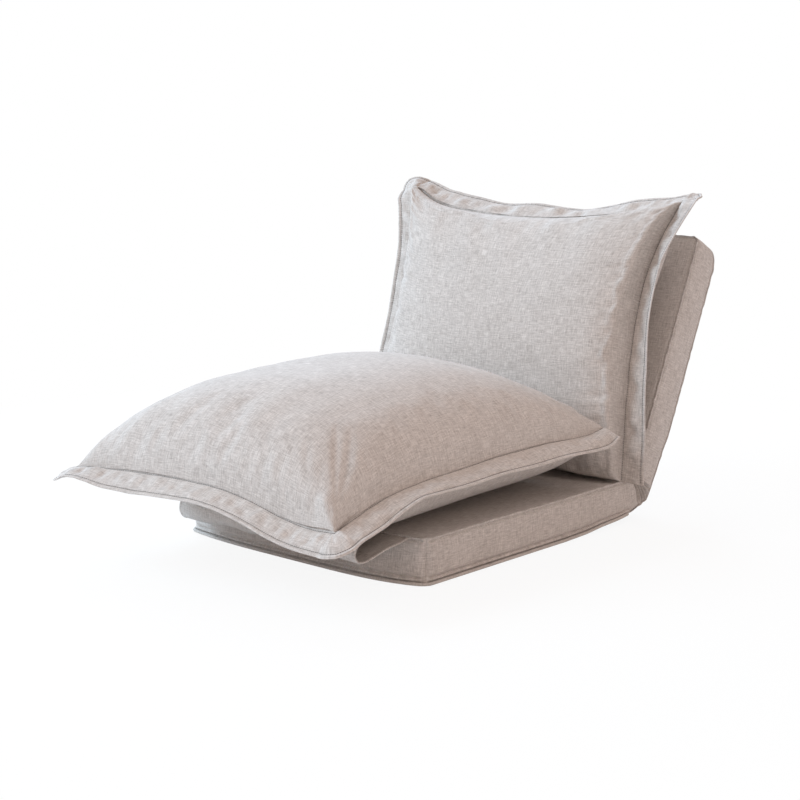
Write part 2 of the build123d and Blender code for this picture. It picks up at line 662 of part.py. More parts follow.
def back_cushion():
    """Stands on the seat at the fold and leans on the back slab, a little more upright than it."""
    lean = math.radians(BACK_CUSHION_LEAN)
    foot = SEAM_HEIGHT / 2 + EDGE_RISE
    foot_z = SLAB_THICKNESS + REST_GAP + foot * math.sin(lean)
    plane = Plane(
        origin=(0, HINGE_Y - BACK_CUSHION_FOOT_OUT, foot_z),
        x_dir=(1, 0, 0),
        z_dir=(0, -math.cos(lean), math.sin(lean)),
    )
    rest = BACK_PLANE.offset(HALF + REST_GAP)
    slab_at = rest.to_local_coords(plane.origin).Z
    widening = math.sin(math.radians(RECLINE) - lean)
    return Cushion(
        plane=plane,
        rests=[rest, SEAT_PLANE.offset(HALF + REST_GAP)],
        across_form=BACK_DOME_ACROSS,
        along_form=BACK_DOME_ALONG,
        length=BACK_CUSHION_LENGTH,
        half_width=SLAB_WIDTH / 2 + BACK_CUSHION_SIDE_OVER,
        draw_in=BACK_CUSHION_DRAW_IN,
        ears=BACK_CUSHION_EARS,
        seam_start=0,
        seam_end=BACK_CUSHION_SEAM_TOP,
        seam_bow=BACK_CUSHION_SEAM_BOW,
        crown=BACK_CUSHION_CROWN,
        lead=0,
        belly=lambda along, seam: seam + slab_at + along * widening + BELLY_PRESS - SEAM_HEIGHT / 2,
        droop=BACK_FLANGE_DROOP,
        end_droop=BACK_FLANGE_END_DROOP,
    )


def make_flap():
    """The loose loop of cloth from the seat's front edge, forward, round and back under the cushion."""
    top = SLAB_THICKNESS + REST_GAP - FIT_GAP - FLAP_THICKNESS / 2
    start = (SEAT_FRONT - FIT_GAP, SLAB_THICKNESS - FLAP_BELOW_EDGE)
    turn = SEAT_FRONT - FLAP_REACH
    low = top - FLAP_SAG
    radius = FLAP_SAG / 2
    with BuildPart() as flap:
        with BuildSketch(Plane(origin=(0, 0, 0), x_dir=(0, 1, 0), z_dir=(1, 0, 0))):
            with BuildLine():
                Line(start, (turn + radius, low))
                ThreePointArc((turn + radius, low), (turn, low + radius), (turn + radius, top))
                Line((turn + radius, top), (turn + radius + FLAP_SEWN_LENGTH, top))
            trace(line_width=FLAP_THICKNESS)
        extrude(amount=SLAB_WIDTH / 2 - FLAP_SIDE_INSET, both=True)
    write(flap.part, "cushion_flap")


for slab in (SEAT, BACK):
    make_cover(slab)
    make_frame(slab)
    make_foam(slab)
make_welt()
make_bend()
make_cheeks()
make_sectors()
make_pawls()
make_springs()
make_rivets()
make_cushion(seat_cushion(), "seat_cushion")
make_cushion(back_cushion(), "back_cushion")
make_flap()
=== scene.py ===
# %% [markdown]
# # Dressing a folding floor chair
# The chair is a folding mattress with two loose cushions on it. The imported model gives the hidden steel
# frame, the ratchet hinges and plain solids for every soft piece. This lesson keeps the metal as it is and
# sews new cloth over the soft solids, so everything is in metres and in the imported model's own frame.

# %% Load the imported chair
import json
import math

import bmesh
import bpy
import numpy as np
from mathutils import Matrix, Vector


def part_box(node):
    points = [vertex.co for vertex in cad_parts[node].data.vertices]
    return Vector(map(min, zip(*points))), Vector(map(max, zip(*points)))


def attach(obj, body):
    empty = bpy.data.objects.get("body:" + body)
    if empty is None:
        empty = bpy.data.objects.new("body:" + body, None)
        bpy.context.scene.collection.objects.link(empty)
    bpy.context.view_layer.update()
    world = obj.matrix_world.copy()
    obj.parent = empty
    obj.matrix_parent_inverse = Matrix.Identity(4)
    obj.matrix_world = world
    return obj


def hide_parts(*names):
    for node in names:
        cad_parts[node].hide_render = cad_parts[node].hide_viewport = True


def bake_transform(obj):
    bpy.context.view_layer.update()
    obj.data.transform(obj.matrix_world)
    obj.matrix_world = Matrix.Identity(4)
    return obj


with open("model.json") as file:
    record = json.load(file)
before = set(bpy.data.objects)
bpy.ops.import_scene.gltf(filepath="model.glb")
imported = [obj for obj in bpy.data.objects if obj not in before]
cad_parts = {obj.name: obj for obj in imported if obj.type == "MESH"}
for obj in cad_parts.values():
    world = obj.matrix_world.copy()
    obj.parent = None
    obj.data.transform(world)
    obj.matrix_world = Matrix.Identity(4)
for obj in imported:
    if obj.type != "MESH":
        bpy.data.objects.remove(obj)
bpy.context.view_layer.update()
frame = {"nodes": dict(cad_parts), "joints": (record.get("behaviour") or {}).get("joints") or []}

# %% [markdown]
# ## The camera
# The photograph was taken from the front right, a little above the cushions, with a long lens. The place was
# worked out from the chair's own straight lines, so the render and the photograph can be laid side by side.

# %% Camera
CAMERA_PLACE = Vector((2.4753, -2.8951, 0.9680))
CAMERA_AIM = Vector((-0.64699, 0.74027, -0.18274))
LENS_MM = 85.5

scene = bpy.context.scene
camera = bpy.data.objects.new("camera", bpy.data.cameras.new("camera"))
camera.data.lens = LENS_MM
camera.data.sensor_width = 36.0
camera.location = CAMERA_PLACE
camera.rotation_mode = "QUATERNION"
camera.rotation_quaternion = CAMERA_AIM.to_track_quat("-Z", "Y")
scene.collection.objects.link(camera)
scene.camera = camera
scene.view_settings.view_transform = "Standard"
print("camera stands", round(CAMERA_PLACE.length, 2), "m from the middle of the seat")

# %% [markdown]
# ## Writing a finish as sums
# A cloth colour is a sum of noises, and sums are easier to read in Python than as boxes and noodles. A small
# class holds one socket of the node tree, and every operator on it adds a Math node.


# %% A socket that can be added and multiplied
class Wire:
    """One socket in a material's node tree. Sums of wires and numbers add Math nodes."""

    def __init__(self, tree, socket=None):
        self.tree = tree
        self.socket = socket

    def node(self, kind, settings=None, inputs=None, out=0):
        """Adds a node of that kind: its settings are set first, then its sockets get values or links."""
        made = self.tree.nodes.new("ShaderNode" + kind)
        for name, value in (settings or {}).items():
            setattr(made, name, value)
        self.fill(made, inputs or {})
        outputs = [socket for socket in made.outputs if not socket.is_unavailable]
        return Wire(self.tree, outputs[out])

    def fill(self, node, inputs):
        """Gives a node's sockets, by name or by number, a link from a wire or a plain value."""
        usable = [socket for socket in node.inputs if not socket.is_unavailable]
        for name, value in inputs.items():
            socket = usable[name] if isinstance(name, int) else next(s for s in usable if s.name == name)
            if isinstance(value, Wire):
                self.tree.links.new(value.socket, socket)
            else:
                socket.default_value = value

    def sum(self, operation, first, second):
        return self.node("Math", {"operation": operation}, {0: first, 1: second})

    def __add__(self, other):
        return self.sum("ADD", self, other)

    def __radd__(self, other):
        return self.sum("ADD", other, self)

    def __sub__(self, other):
        return self.sum("SUBTRACT", self, other)

    def __rsub__(self, other):
        return self.sum("SUBTRACT", other, self)

    def __mul__(self, other):
        return self.sum("MULTIPLY", self, other)

    def __rmul__(self, other):
        return self.sum("MULTIPLY", other, self)


def new_finish(name):
    """An empty material, its shader node and a wire to start from."""
    material = bpy.data.materials.new(name)
    material.use_nodes = True
    shader = material.node_tree.nodes["Principled BSDF"]
    return material, shader, Wire(material.node_tree)


def mixed_colour(wire, share, dark, light):
    """Colour = dark + (light - dark) x share."""
    return wire.node("Mix", {"data_type": "RGBA"}, {"Factor": share, "A": (*dark, 1), "B": (*light, 1)})


print("finishes are written with", Wire.__name__)

# %% [markdown]
# ## The cover cloth
# The cover is a pale oatmeal chenille: soft thick yarns in a plain weave, with slubs that run along both ways
# of the cloth and a nap that lies lighter or darker in patches. A picture of cloth would be the usual way, but
# noise needs no file and never repeats. Every soft piece carries a UV map in metres of flat cloth, so one
# material gives the same yarn everywhere and the slubs follow each panel.


# %% Cover cloth
SLUB_LONG = 0.020
YARN_THICK = 0.0023
GRAIN_SIZE = 0.0026
NAP_PATCH = (0.070, 0.050)


def yarn_noise(wire, cloth_map, along, across, detail=2.0):
    """Noise drawn out along one way of the cloth: lengths in metres along u and along v."""
    drawn = wire.node("Mapping", {}, {"Vector": cloth_map, "Scale": (1 / along, 1 / across, 1.0)})
    return wire.node("TexNoise", {"noise_dimensions": "2D"}, {"Vector": drawn, "Scale": 1.0, "Detail": detail})


def make_cloth(name, dark, light, nap_depth):
    """Chenille: colour = dark + (light - dark) x (slubs both ways + grain + nap), bump from slubs and grain."""
    material, shader, wire = new_finish(name)
    cloth_map = wire.node("UVMap", {"uv_map": "cloth"})
    weft = yarn_noise(wire, cloth_map, SLUB_LONG, YARN_THICK)
    warp = yarn_noise(wire, cloth_map, YARN_THICK, SLUB_LONG)
    grain = yarn_noise(wire, cloth_map, GRAIN_SIZE, GRAIN_SIZE, 3.0)
    nap = yarn_noise(wire, cloth_map, *NAP_PATCH)
    slubs = weft * 0.5 + warp * 0.5
    share = (slubs - 0.5) * 1.9 + (grain - 0.5) * 0.6 + (nap - 0.5) * nap_depth + 0.5
    height = slubs * 0.7 + grain * 0.3
    wire.fill(shader, {
        "Base Color": mixed_colour(wire, share, dark, light),
        "Roughness": 0.96 - slubs * 0.16,
        "Normal": wire.node("Bump", {}, {"Strength": 0.55, "Distance": 0.0011, "Height": height}),
        "Sheen Weight": 0.12,
        "Sheen Roughness": 0.55,
        "Specular IOR Level": 0.25,
    })
    return material


cover_cloth = make_cloth("cover_chenille", (0.36, 0.325, 0.295), (0.69, 0.645, 0.60), 0.22)
base_cloth = make_cloth("base_cloth_grey", (0.15, 0.15, 0.16), (0.27, 0.27, 0.285), 0.2)
print("cloths:", cover_cloth.name, base_cloth.name)

# %% [markdown]
# ## Sewing grids together
# Every new piece is one or more grids of points worked out by a formula. Sculpting would be freer, but a formula
# can be read, changed and run again. Grids that meet share the points of their borders, so joining equal points
# closes the piece. A quad that shrinks to a triangle at a corner loses its doubled point.


# %% Grids into one closed piece
def grid_quads(rows, columns, first):
    """Corner numbers of every cell in a grid whose first point has that number."""
    number = first + np.arange(rows * columns).reshape(rows, columns)
    corners = (number[:-1, :-1], number[1:, :-1], number[1:, 1:], number[:-1, 1:])
    return np.stack(corners, axis=-1).reshape(-1, 4)


def cloth_flat(along, across):
    """Places on the flat cloth over a grid, in metres."""
    return np.stack(np.broadcast_arrays(along, across), axis=-1)


def sew(name, patches, finishes):
    """Joins patches (points, cloth map, finish number) into one object, and gives each point's new number."""
    grids, flats, uses = zip(*patches)
    points = np.concatenate([grid.reshape(-1, 3) for grid in grids])
    cloth = np.concatenate([flat.reshape(-1, 2) for flat in flats])
    starts = np.cumsum([0] + [grid.shape[0] * grid.shape[1] for grid in grids])
    cells = [grid_quads(*grid.shape[:2], first) for grid, first in zip(grids, starts)]
    finish_of = np.concatenate([np.full(len(quads), use) for quads, use in zip(cells, uses)])
    quads = np.concatenate(cells)
    joined, number = np.unique(np.round(points, 6), axis=0, return_inverse=True)
    number = number.reshape(-1)
    corners = number[quads]
    kept = corners != np.roll(corners, -1, axis=1)
    whole = kept.sum(axis=1) > 2
    corners, quads, kept, finish_of = corners[whole], quads[whole], kept[whole], finish_of[whole]
    totals = kept.sum(axis=1)
    mesh = bpy.data.meshes.new(name)
    mesh.vertices.add(len(joined))
    mesh.vertices.foreach_set("co", joined.astype(np.float32).ravel())
    mesh.loops.add(int(totals.sum()))
    mesh.loops.foreach_set("vertex_index", corners[kept].astype(np.int32))
    mesh.polygons.add(len(totals))
    mesh.polygons.foreach_set("loop_start", np.concatenate([[0], np.cumsum(totals)[:-1]]).astype(np.int32))
    mesh.polygons.foreach_set("loop_total", totals.astype(np.int32))
    mesh.polygons.foreach_set("material_index", finish_of.astype(np.int32))
    mesh.polygons.foreach_set("use_smooth", np.ones(len(totals), dtype=bool))
    mesh.update(calc_edges=True)
    cloth_map = mesh.uv_layers.new(name="cloth")
    cloth_map.data.foreach_set("uv", cloth[quads[kept]].astype(np.float32).ravel())
    turned = bmesh.new()
    turned.from_mesh(mesh)
    bmesh.ops.recalc_face_normals(turned, faces=turned.faces)
    turned.to_mesh(mesh)
    turned.free()
    mesh.validate()
    for finish in finishes:
        mesh.materials.append(finish)
    piece = bpy.data.objects.new(name, mesh)
    scene.collection.objects.link(piece)
    print(name, "has", len(mesh.vertices), "points and", len(mesh.polygons), "faces")
    return piece, number


# %% [markdown]
# ## Wrinkles without dice
# Cloth is never quite even. Noise from a texture could move it, but a few sine waves with fixed random headings
# give a smooth unevenness that works on whole arrays and comes out the same in every run.


# %% Soft unevenness
def ripples(u, v, wavelength, seed, waves=7):
    """Mean of sine waves of about one wavelength, with seeded headings, lengths and phases: about -1 to 1."""
    draw = np.random.default_rng(seed)
    total = 0.0
    for heading, phase, stretch in zip(
        draw.uniform(0, 2 * math.pi, waves), draw.uniform(0, 2 * math.pi, waves), draw.uniform(0.7, 1.5, waves)
    ):
        reach = 2 * math.pi / (wavelength * stretch)
        total = total + np.sin(reach * (u * math.cos(heading) + v * math.sin(heading)) + phase)
    return total / math.sqrt(2 * waves)


def eased(value):
    """Smoothstep: 0 below 0, 1 above 1, 3s^2 - 2s^3 between."""
    share = np.clip(value, 0, 1)
    return share * share * (3 - 2 * share)


def hump(distance, width):
    """A round ridge: exp(-(distance / width)^2)."""
    return np.exp(-((distance / width) ** 2))


print("ripples at one place:", round(float(ripples(np.array(0.1), np.array(0.2), 0.03, 4)), 3))

# %% [markdown]
# ## The folding mattress
# The seat and back are one sewn cover over two foam slabs. A long box could be bent at the hinge, but it would
# thin out there. So the side view is drawn as two lines, the sitter's side and the floor side, that run together
# from the seat's front edge, round the fold and up to the top of the back. Round the fold the inner line turns
# in a tight crease while the outer line goes round the hinge.

# %% Side view of the mattress
HINGE = np.array(next(j for j in frame["joints"] if j["name"] == "back_recline")["pos_m"])
HALF_THICK = float(HINGE[2])
HALF_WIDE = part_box("seat_side_band")[1].x
FRONT_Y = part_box("seat_side_band")[0].y
RECLINE = math.radians(25.0)
FOLD_ARC = (-90, -25)
UP_BACK = np.array([math.sin(RECLINE), math.cos(RECLINE)])
OFF_BACK = np.array([-math.cos(RECLINE), math.sin(RECLINE)])
BACK_LENGTH = 0.561
TOP_ROUND = 0.045
CREASE_ROUND = 0.012


def run(start, end, count):
    """Points in a straight line, the last one left off."""
    share = np.linspace(0, 1, count, endpoint=False)[:, None]
    return np.asarray(start) + (np.asarray(end) - np.asarray(start)) * share


def turn(centre, radius, start, end, count):
    """Points on an arc, angles in degrees, the last one left off."""
    angle = np.radians(np.linspace(start, end, count, endpoint=False))[:, None]
    return np.asarray(centre) + radius * np.hstack([np.cos(angle), np.sin(angle)])


def edged(length, fine=(0.0, 0.0012, 0.0024, 0.0038, 0.0055, 0.0078, 0.0115, 0.018), step=0.011):
    """Places from 0 to length, close together near both ends and evenly spaced between."""
    fine = np.array(fine)
    count = int(round((length - 2 * fine[-1]) / step))
    middle = np.linspace(fine[-1], length - fine[-1], count + 1)[1:-1]
    return np.concatenate([fine, middle, length - fine[::-1]])


def lengths(line):
    """Way along a line of points from its first one."""
    return np.concatenate([[0], np.cumsum(np.linalg.norm(np.diff(line, axis=0), axis=1))])


def unit(vectors):
    """Vectors of the same heading with length 1."""
    return vectors / np.linalg.norm(vectors, axis=-1)[..., None]


def mattress_lines():
    """Matching points of the inner and outer lines in side view (y, z), from the seat's front to the back's top."""
    hinge = HINGE[1:]
    crease = HALF_THICK * (1 - UP_BACK[0]) / UP_BACK[1]
    tuck = CREASE_ROUND * math.tan(math.radians((FOLD_ARC[1] - FOLD_ARC[0]) / 2))
    seat = FRONT_Y + edged(hinge[0] - crease - tuck - FRONT_Y)[:-1]
    back = crease + tuck + edged(BACK_LENGTH - TOP_ROUND - crease - tuck)
    fan_counts = (12, 44, 12)
    outer_fan = np.concatenate([
        run((hinge[0] - crease - tuck, 0), (hinge[0], 0), fan_counts[0]),
        turn(hinge, HALF_THICK, *FOLD_ARC, fan_counts[1]),
        run(hinge - HALF_THICK * OFF_BACK, hinge - HALF_THICK * OFF_BACK + UP_BACK * (crease + tuck), fan_counts[2]),
    ])
    valley = hinge + np.array([-crease - tuck, HALF_THICK + CREASE_ROUND])
    inner_fan = turn(valley, CREASE_ROUND, *FOLD_ARC, sum(fan_counts))
    over = np.radians(np.linspace(0, 90, 13)[1:])
    over_along = BACK_LENGTH - TOP_ROUND + TOP_ROUND * np.sin(over)
    over_across = -HALF_THICK + TOP_ROUND * (1 - np.cos(over))
    along = np.concatenate([back, over_along])[:, None]
    across = np.concatenate([np.full(len(back), -HALF_THICK), over_across])[:, None]
    inner = np.concatenate([
        np.stack([seat, np.full(len(seat), 2 * HALF_THICK)], axis=1),
        inner_fan,
        hinge + UP_BACK * along + OFF_BACK * HALF_THICK,
    ])
    outer = np.concatenate([
        np.stack([seat, np.zeros(len(seat))], axis=1),
        outer_fan,
        hinge + UP_BACK * along + OFF_BACK * across,
    ])
    return inner, outer, len(seat), sum(fan_counts)


inner_line, outer_line, seat_stations, fan_stations = mattress_lines()
length_at = lengths((inner_line + outer_line) / 2)
outer_way = lengths(outer_line)
fold_way = outer_way - outer_way[seat_stations + fan_stations // 2]
LAST = len(inner_line) - 1
print("mattress is", round(float(length_at[-1]), 3), "m long down its middle, in", LAST + 1, "stations")

# %% [markdown]
# ## What the needle does to the mattress
# Where panels are sewn, the cloth stands up in a narrow ridge with a dip beside it and puckers along it. The
# seat's lower edge has a narrow sewn strip between two dark grooves. At the fold the spare cloth of the side
# goes into a few short pleats and the outer cloth is drawn in, most at the edges. A bump texture could fake all
# that, but it leaves the outline straight, so the heights are worked out in metres.

# %% Stitched surface of the mattress
MM = 0.001
CORNER_ROUND = 0.012
TOP_CORNER = 0.010
HEM_GROOVES = (0.0155, 0.0062)
HEM_MIDDLE = 0.0108
THICK = 2 * HALF_THICK


def line_outside(line):
    """Unit vectors square to a line in side view, to its left."""
    heading = unit(np.gradient(line, axis=0))
    return np.stack([-heading[:, 1], heading[:, 0]], axis=1)


inner_out = line_outside(inner_line)
outer_out = -line_outside(outer_line)
end_out = {0: np.array([-1.0, 0.0]), LAST: UP_BACK}


def seam_ridge(gap, along, seed):
    """Height beside a seam, by the gap from it: ridge, dip beside it, and puckers that fade in 20 mm."""
    pucker = ripples(along, 0 * along, 0.021, seed)
    return MM * (2.0 * hump(gap, 0.0021) - 3.6 * hump(gap - 0.0046, 0.0023) + 1.2 * pucker * np.exp(-gap / 0.012))


def hem_strip(height):
    """Section of the seat's lower edge, by height: two grooves with a round strip between, turning under."""
    grooves = -4.6 * hump(height - HEM_GROOVES[0], 0.002) - 4.4 * hump(height - HEM_GROOVES[1], 0.002)
    strip = 1.8 * hump(height - HEM_MIDDLE, 0.0034)
    return MM * (grooves + strip - 3.0 * hump(height, 0.003))


PLEATS = ((-0.030, 8.0), (-0.012, 15.0), (0.008, 16.0), (0.027, 16.0), (0.044, 12.0))


def fold_pleats(station, share):
    """Pleats at the fold, by place in m and depth in mm: sharp valleys, each with a full lip beside it."""
    way = fold_way[station]
    total = 0.0
    for centre, depth in PLEATS:
        total = total - depth * hump(way - centre, 0.004) + 0.4 * depth * hump(way - centre - 0.009, 0.0045)
    return MM * total * eased(share * 4) * eased((1 - share) * 8)


FOLD_WAYS = np.array([-290, -220, -169, -116, -83, -62, -33, 0, 25, 60, 125, 175]) * MM
FOLD_PULLS = np.array([0, 2, 6.5, 9, 12, 16, 24, 28, 19, 13, 7, 0]) * MM
fold_pull = np.interp(fold_way, FOLD_WAYS, FOLD_PULLS)
print("the seat's lower strip stands", round(float(hem_strip(np.array(HEM_MIDDLE))) / MM, 2), "mm proud")

# %% [markdown]
# ## Every point of the cover
# One function gives any point of the cover from its station, its place across and its share of the thickness.
# It rounds the corners, moves the point along its panel's own outside and lets the soft front lean out. With one
# function for all panels, panels that meet agree on their border, so nothing has to be fitted by hand.

# %% Points of the cover
BOW_REACH = 0.13
BULGE_REACH = 0.12
SEAM_CLEAR = 0.016
EDGE_WIDTH = 0.004
BAND_PUFF = BACK_PUFF = 5.0


def edge_share(gap):
    """How much of the pull shows at a gap from the side: all of it at the edge, a third of it 50 mm in."""
    return 1 - 0.66 * eased(gap / 0.05)


def front_bow(x, y, share):
    """How far the soft front leans out: most at the floor and a little right of the middle, none 130 mm behind it."""
    lean = MM * (28 - 18 * share) * (1 - (x / HALF_WIDE) ** 4) * (1 + 0.3 * x / HALF_WIDE)
    return lean * eased((FRONT_Y + BOW_REACH - y) / BOW_REACH)


def corner_cut(first, second, size):
    """How far a round corner takes a point back along the first way: first (1 - sqrt(1 - second^2 / 2)) size."""
    return first * (1 - np.sqrt(1 - second**2 / 2)) * size


def mattress_points(station, x, share):
    """Points of the cover: straight between the outer and inner line by share, then moved along the outside."""
    station, x, share = np.broadcast_arrays(station, x, share)
    gap_side = HALF_WIDE - np.abs(x)
    inner = inner_line[station]
    outer = outer_line[station] - outer_out[station] * (fold_pull[station] * edge_share(gap_side))[..., None]
    side = outer + (inner - outer) * share[..., None]
    along = length_at[station]
    front = np.clip(1 - (inner[..., 0] - FRONT_Y) / CORNER_ROUND, 0, 1) * (station < seat_stations)
    corner = np.clip(1 - gap_side / CORNER_ROUND, 0, 1)
    climbed = (inner - HINGE[1:]) @ UP_BACK * (station > seat_stations + fan_stations)
    top = np.clip(1 - (BACK_LENGTH - climbed) / TOP_CORNER, 0, 1)
    shoulder = np.clip(1 - gap_side / TOP_CORNER, 0, 1)
    side = side - corner_cut(top, shoulder, TOP_CORNER)[..., None] * UP_BACK
    x = x - np.sign(x) * (corner_cut(corner, front, CORNER_ROUND) + corner_cut(shoulder, top, TOP_CORNER))
    in_seat = eased((seat_stations + 4 - station) / 12)
    in_fan = eased((station - seat_stations + 4) / 8) * eased((seat_stations + fan_stations + 4 - station) / 8)
    gap_end = np.minimum(along, length_at[-1] - along)
    gap_face = np.minimum(gap_side, gap_end)
    height = share * THICK
    puff = 1 - (2 * share - 1) ** 2
    face = seam_ridge(gap_side, along, 3) * (gap_side < gap_end) + seam_ridge(gap_end, x, 5) * (gap_side >= gap_end)
    face = face + MM * (0.8 * ripples(along, x, 0.16, 8) - 1.0) * eased(gap_face / 0.03)
    band = MM * BAND_PUFF * puff + seam_ridge((1 - share) * THICK, along + x, 11)
    band = band + hem_strip(height) * in_seat + seam_ridge(height, along, 13) * (1 - in_seat) * 0.7
    band = band + MM * 1.1 * ripples(along + x, height, 0.075, 17) * puff
    groove = MM * 3.0 * hump(along + gap_side, 0.0026) * in_seat
    past_end, past_side = eased(gap_end / SEAM_CLEAR), eased(gap_side / SEAM_CLEAR)
    bulge = eased(gap_side / BULGE_REACH) * eased(gap_end / BULGE_REACH)
    base = MM * BACK_PUFF * (1 - in_seat) * (1 - in_fan) * bulge - MM * 3.0 * hump(gap_side, EDGE_WIDTH)
    base = base + MM * 2.0 * in_fan * bulge * ripples(along * 3, x, 0.12, 23)
    at_face, at_base = share >= 1, share <= 0
    at_side = np.abs(gap_side) < 1e-9
    side = side + (face * at_face)[..., None] * inner_out[station]
    side = side + (base * at_base * (1 - in_seat))[..., None] * outer_out[station]
    side[..., 1] += at_base * in_seat * MM * 1.5 * hump(gap_side, EDGE_WIDTH)
    x = x + np.sign(x) * ((band + fold_pleats(station, share)) * past_end - groove) * at_side
    for end, outside in end_out.items():
        side = side + ((band * past_side - groove) * (station == end))[..., None] * outside
    bow = front_bow(x, side[..., 0], share) * (station < seat_stations)
    side[..., 0] += corner_cut(front, corner, CORNER_ROUND) - bow
    return np.stack([x, side[..., 0], side[..., 1]], axis=-1)


seat_middle = mattress_points(np.array([seat_stations // 2]), np.array([0.0]), np.array([1.0]))[0]
print("the middle of the seat is", round(float(seat_middle[2]) / MM, 1), "mm high")

# %% [markdown]
# ## Cutting the cover
# A face, a base and a band that runs all the way round make the closed cover. The floor side of the seat is a
# plain grey cloth, the rest is chenille. Two pieces that meet at the fold would part when the back goes down, so
# it is one cover, shaped round the fold.

# %% Mattress cover
across = edged(2 * HALF_WIDE) - HALF_WIDE
stations = np.arange(LAST + 1)
BAND_SHARES = np.concatenate([
    np.array([0, 1.2, 2.6, 4.0, 5.2, 6.2, 7.2, 8.6, 10.8, 12.6, 14.2, 15.5, 16.8, 18.6, 22.0]) * MM / THICK,
    np.linspace(0.32, 0.86, 9),
    1 - np.array([9.0, 7.0, 5.4, 4.0, 2.6, 1.3, 0.0]) * MM / THICK,
])


def cover_patches():
    """Face and base over (station, x), and the band over (way round, share of the thickness)."""
    grid_station, grid_x = np.meshgrid(stations, across, indexing="ij")
    flat = cloth_flat(length_at[grid_station], grid_x)
    face = mattress_points(grid_station, grid_x, np.ones(grid_x.shape))
    base = mattress_points(grid_station, grid_x, np.zeros(grid_x.shape))
    floor_stations = seat_stations + 9
    ring_station = np.concatenate([
        np.zeros(len(across), int), stations[1:], np.full(len(across) - 1, LAST), stations[-2::-1],
    ])
    ring_x = np.concatenate([
        across, np.full(LAST, across[-1]), across[-2::-1], np.full(LAST, across[0]),
    ])
    grid_ring, grid_share = np.meshgrid(np.arange(len(ring_x)), BAND_SHARES, indexing="ij")
    band = mattress_points(ring_station[grid_ring], ring_x[grid_ring], grid_share)
    way = lengths(band[:, len(BAND_SHARES) // 2])
    band_flat = cloth_flat(way[grid_ring], grid_share * THICK)
    return [
        (face, flat, 0),
        (base[: floor_stations + 1], flat[: floor_stations + 1], 1),
        (base[floor_stations:], flat[floor_stations:], 0),
        (band, band_flat, 0),
    ]


mattress_cover, _ = sew("mattress_cover", cover_patches(), [cover_cloth, base_cloth])
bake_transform(mattress_cover)
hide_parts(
    "seat_top_panel", "seat_side_band", "seat_base_panel", "bend_gussets", "bend_outer_panel",
    "bend_crease_panel", "back_front_panel", "back_side_band", "back_rear_panel", "seat_foam_face",
    "seat_foam_base", "bend_foam", "back_foam_face", "back_foam_base",
)

# %% [markdown]
# ## The piping round the seat
# A cord covered in the same cloth runs along the seat's lower edge from one side of the fold to the other. A
# curve with a round bevel could make it. A round profile carried along the edge by a formula is chosen because it
# gets the same cloth map as every other piece.

# %% Piping
PIPE_RADIUS = 0.0031
PIPE_HEIGHT = 0.0036
PIPE_STAND = 0.0033
PIPE_OUT = HALF_WIDE + PIPE_STAND
PIPE_FRONT = FRONT_Y - PIPE_STAND
PIPE_SHORT = 0.050
PIPE_END = HINGE[1] - PIPE_SHORT


def piping_path():
    """Along the left side to the front, round both front corners and back along the right side, in plan."""
    corner = CORNER_ROUND + PIPE_STAND
    left = run((-PIPE_OUT, PIPE_END), (-PIPE_OUT, PIPE_FRONT + corner), 90)
    front = run((-PIPE_OUT + corner, PIPE_FRONT), (PIPE_OUT - corner, PIPE_FRONT), 90)
    right = run((PIPE_OUT, PIPE_FRONT + corner), (PIPE_OUT, PIPE_END), 90)
    path = np.concatenate([
        left,
        turn((-PIPE_OUT + corner, PIPE_FRONT + corner), corner, 180, 270, 10),
        front,
        turn((PIPE_OUT - corner, PIPE_FRONT + corner), corner, 270, 360, 10),
        right,
        [(PIPE_OUT, PIPE_END)],
    ])
    path[:, 1] -= front_bow(np.clip(path[:, 0], -HALF_WIDE, HALF_WIDE), path[:, 1], 0)
    return path


def round_along(path, radius, around=12):
    """A tube with closed ends: centre + r (out cos a + up sin a), the first and last rings shrunk to a point."""
    out = -line_outside(path)
    path = np.concatenate([path[:1], path, path[-1:]])
    out = np.concatenate([out[:1], out, out[-1:]])
    size = np.full(len(path), radius)
    size[[0, -1]] = 0
    angle = np.linspace(0, 2 * math.pi, around + 1)
    reach = size[:, None] * np.cos(angle)
    x = path[:, :1] + out[:, :1] * reach
    y = path[:, 1:] + out[:, 1:] * reach
    seat_pull = np.interp(path[:, 1:], outer_line[:seat_stations, 0], fold_pull[:seat_stations])
    z = PIPE_HEIGHT + seat_pull + size[:, None] * np.sin(angle)
    flat = cloth_flat(lengths(path)[:, None], radius * angle[None, :])
    return np.stack([x, y, z], axis=-1), flat


pipe_points, pipe_flat = round_along(piping_path(), PIPE_RADIUS)
seat_piping, _ = sew("seat_piping", [(pipe_points, pipe_flat, 0)], [cover_cloth])
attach(seat_piping, "seat")
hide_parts("seat_welt")

# %% [markdown]
# ## Stuffed cushions
# Each cushion is two panels sewn together along a seam and stuffed, so it is a dome above the seam and a
# flatter belly below it, and its sides pull in between the corners. A squashed ball would lose those sides. So
# the seam comes first: its four lines are drawn from the photograph, a patch is stretched between them, and the
# two panels are raised and lowered from that patch.


# %% Panels between four seam lines
def crowded(count, crowd=0.45):
    """Shares from 0 to 1, closer together at both ends: s - crowd sin(2 pi s) / (2 pi)."""
    share = np.linspace(0, 1, count)
    return share - crowd * np.sin(2 * math.pi * share) / (2 * math.pi)


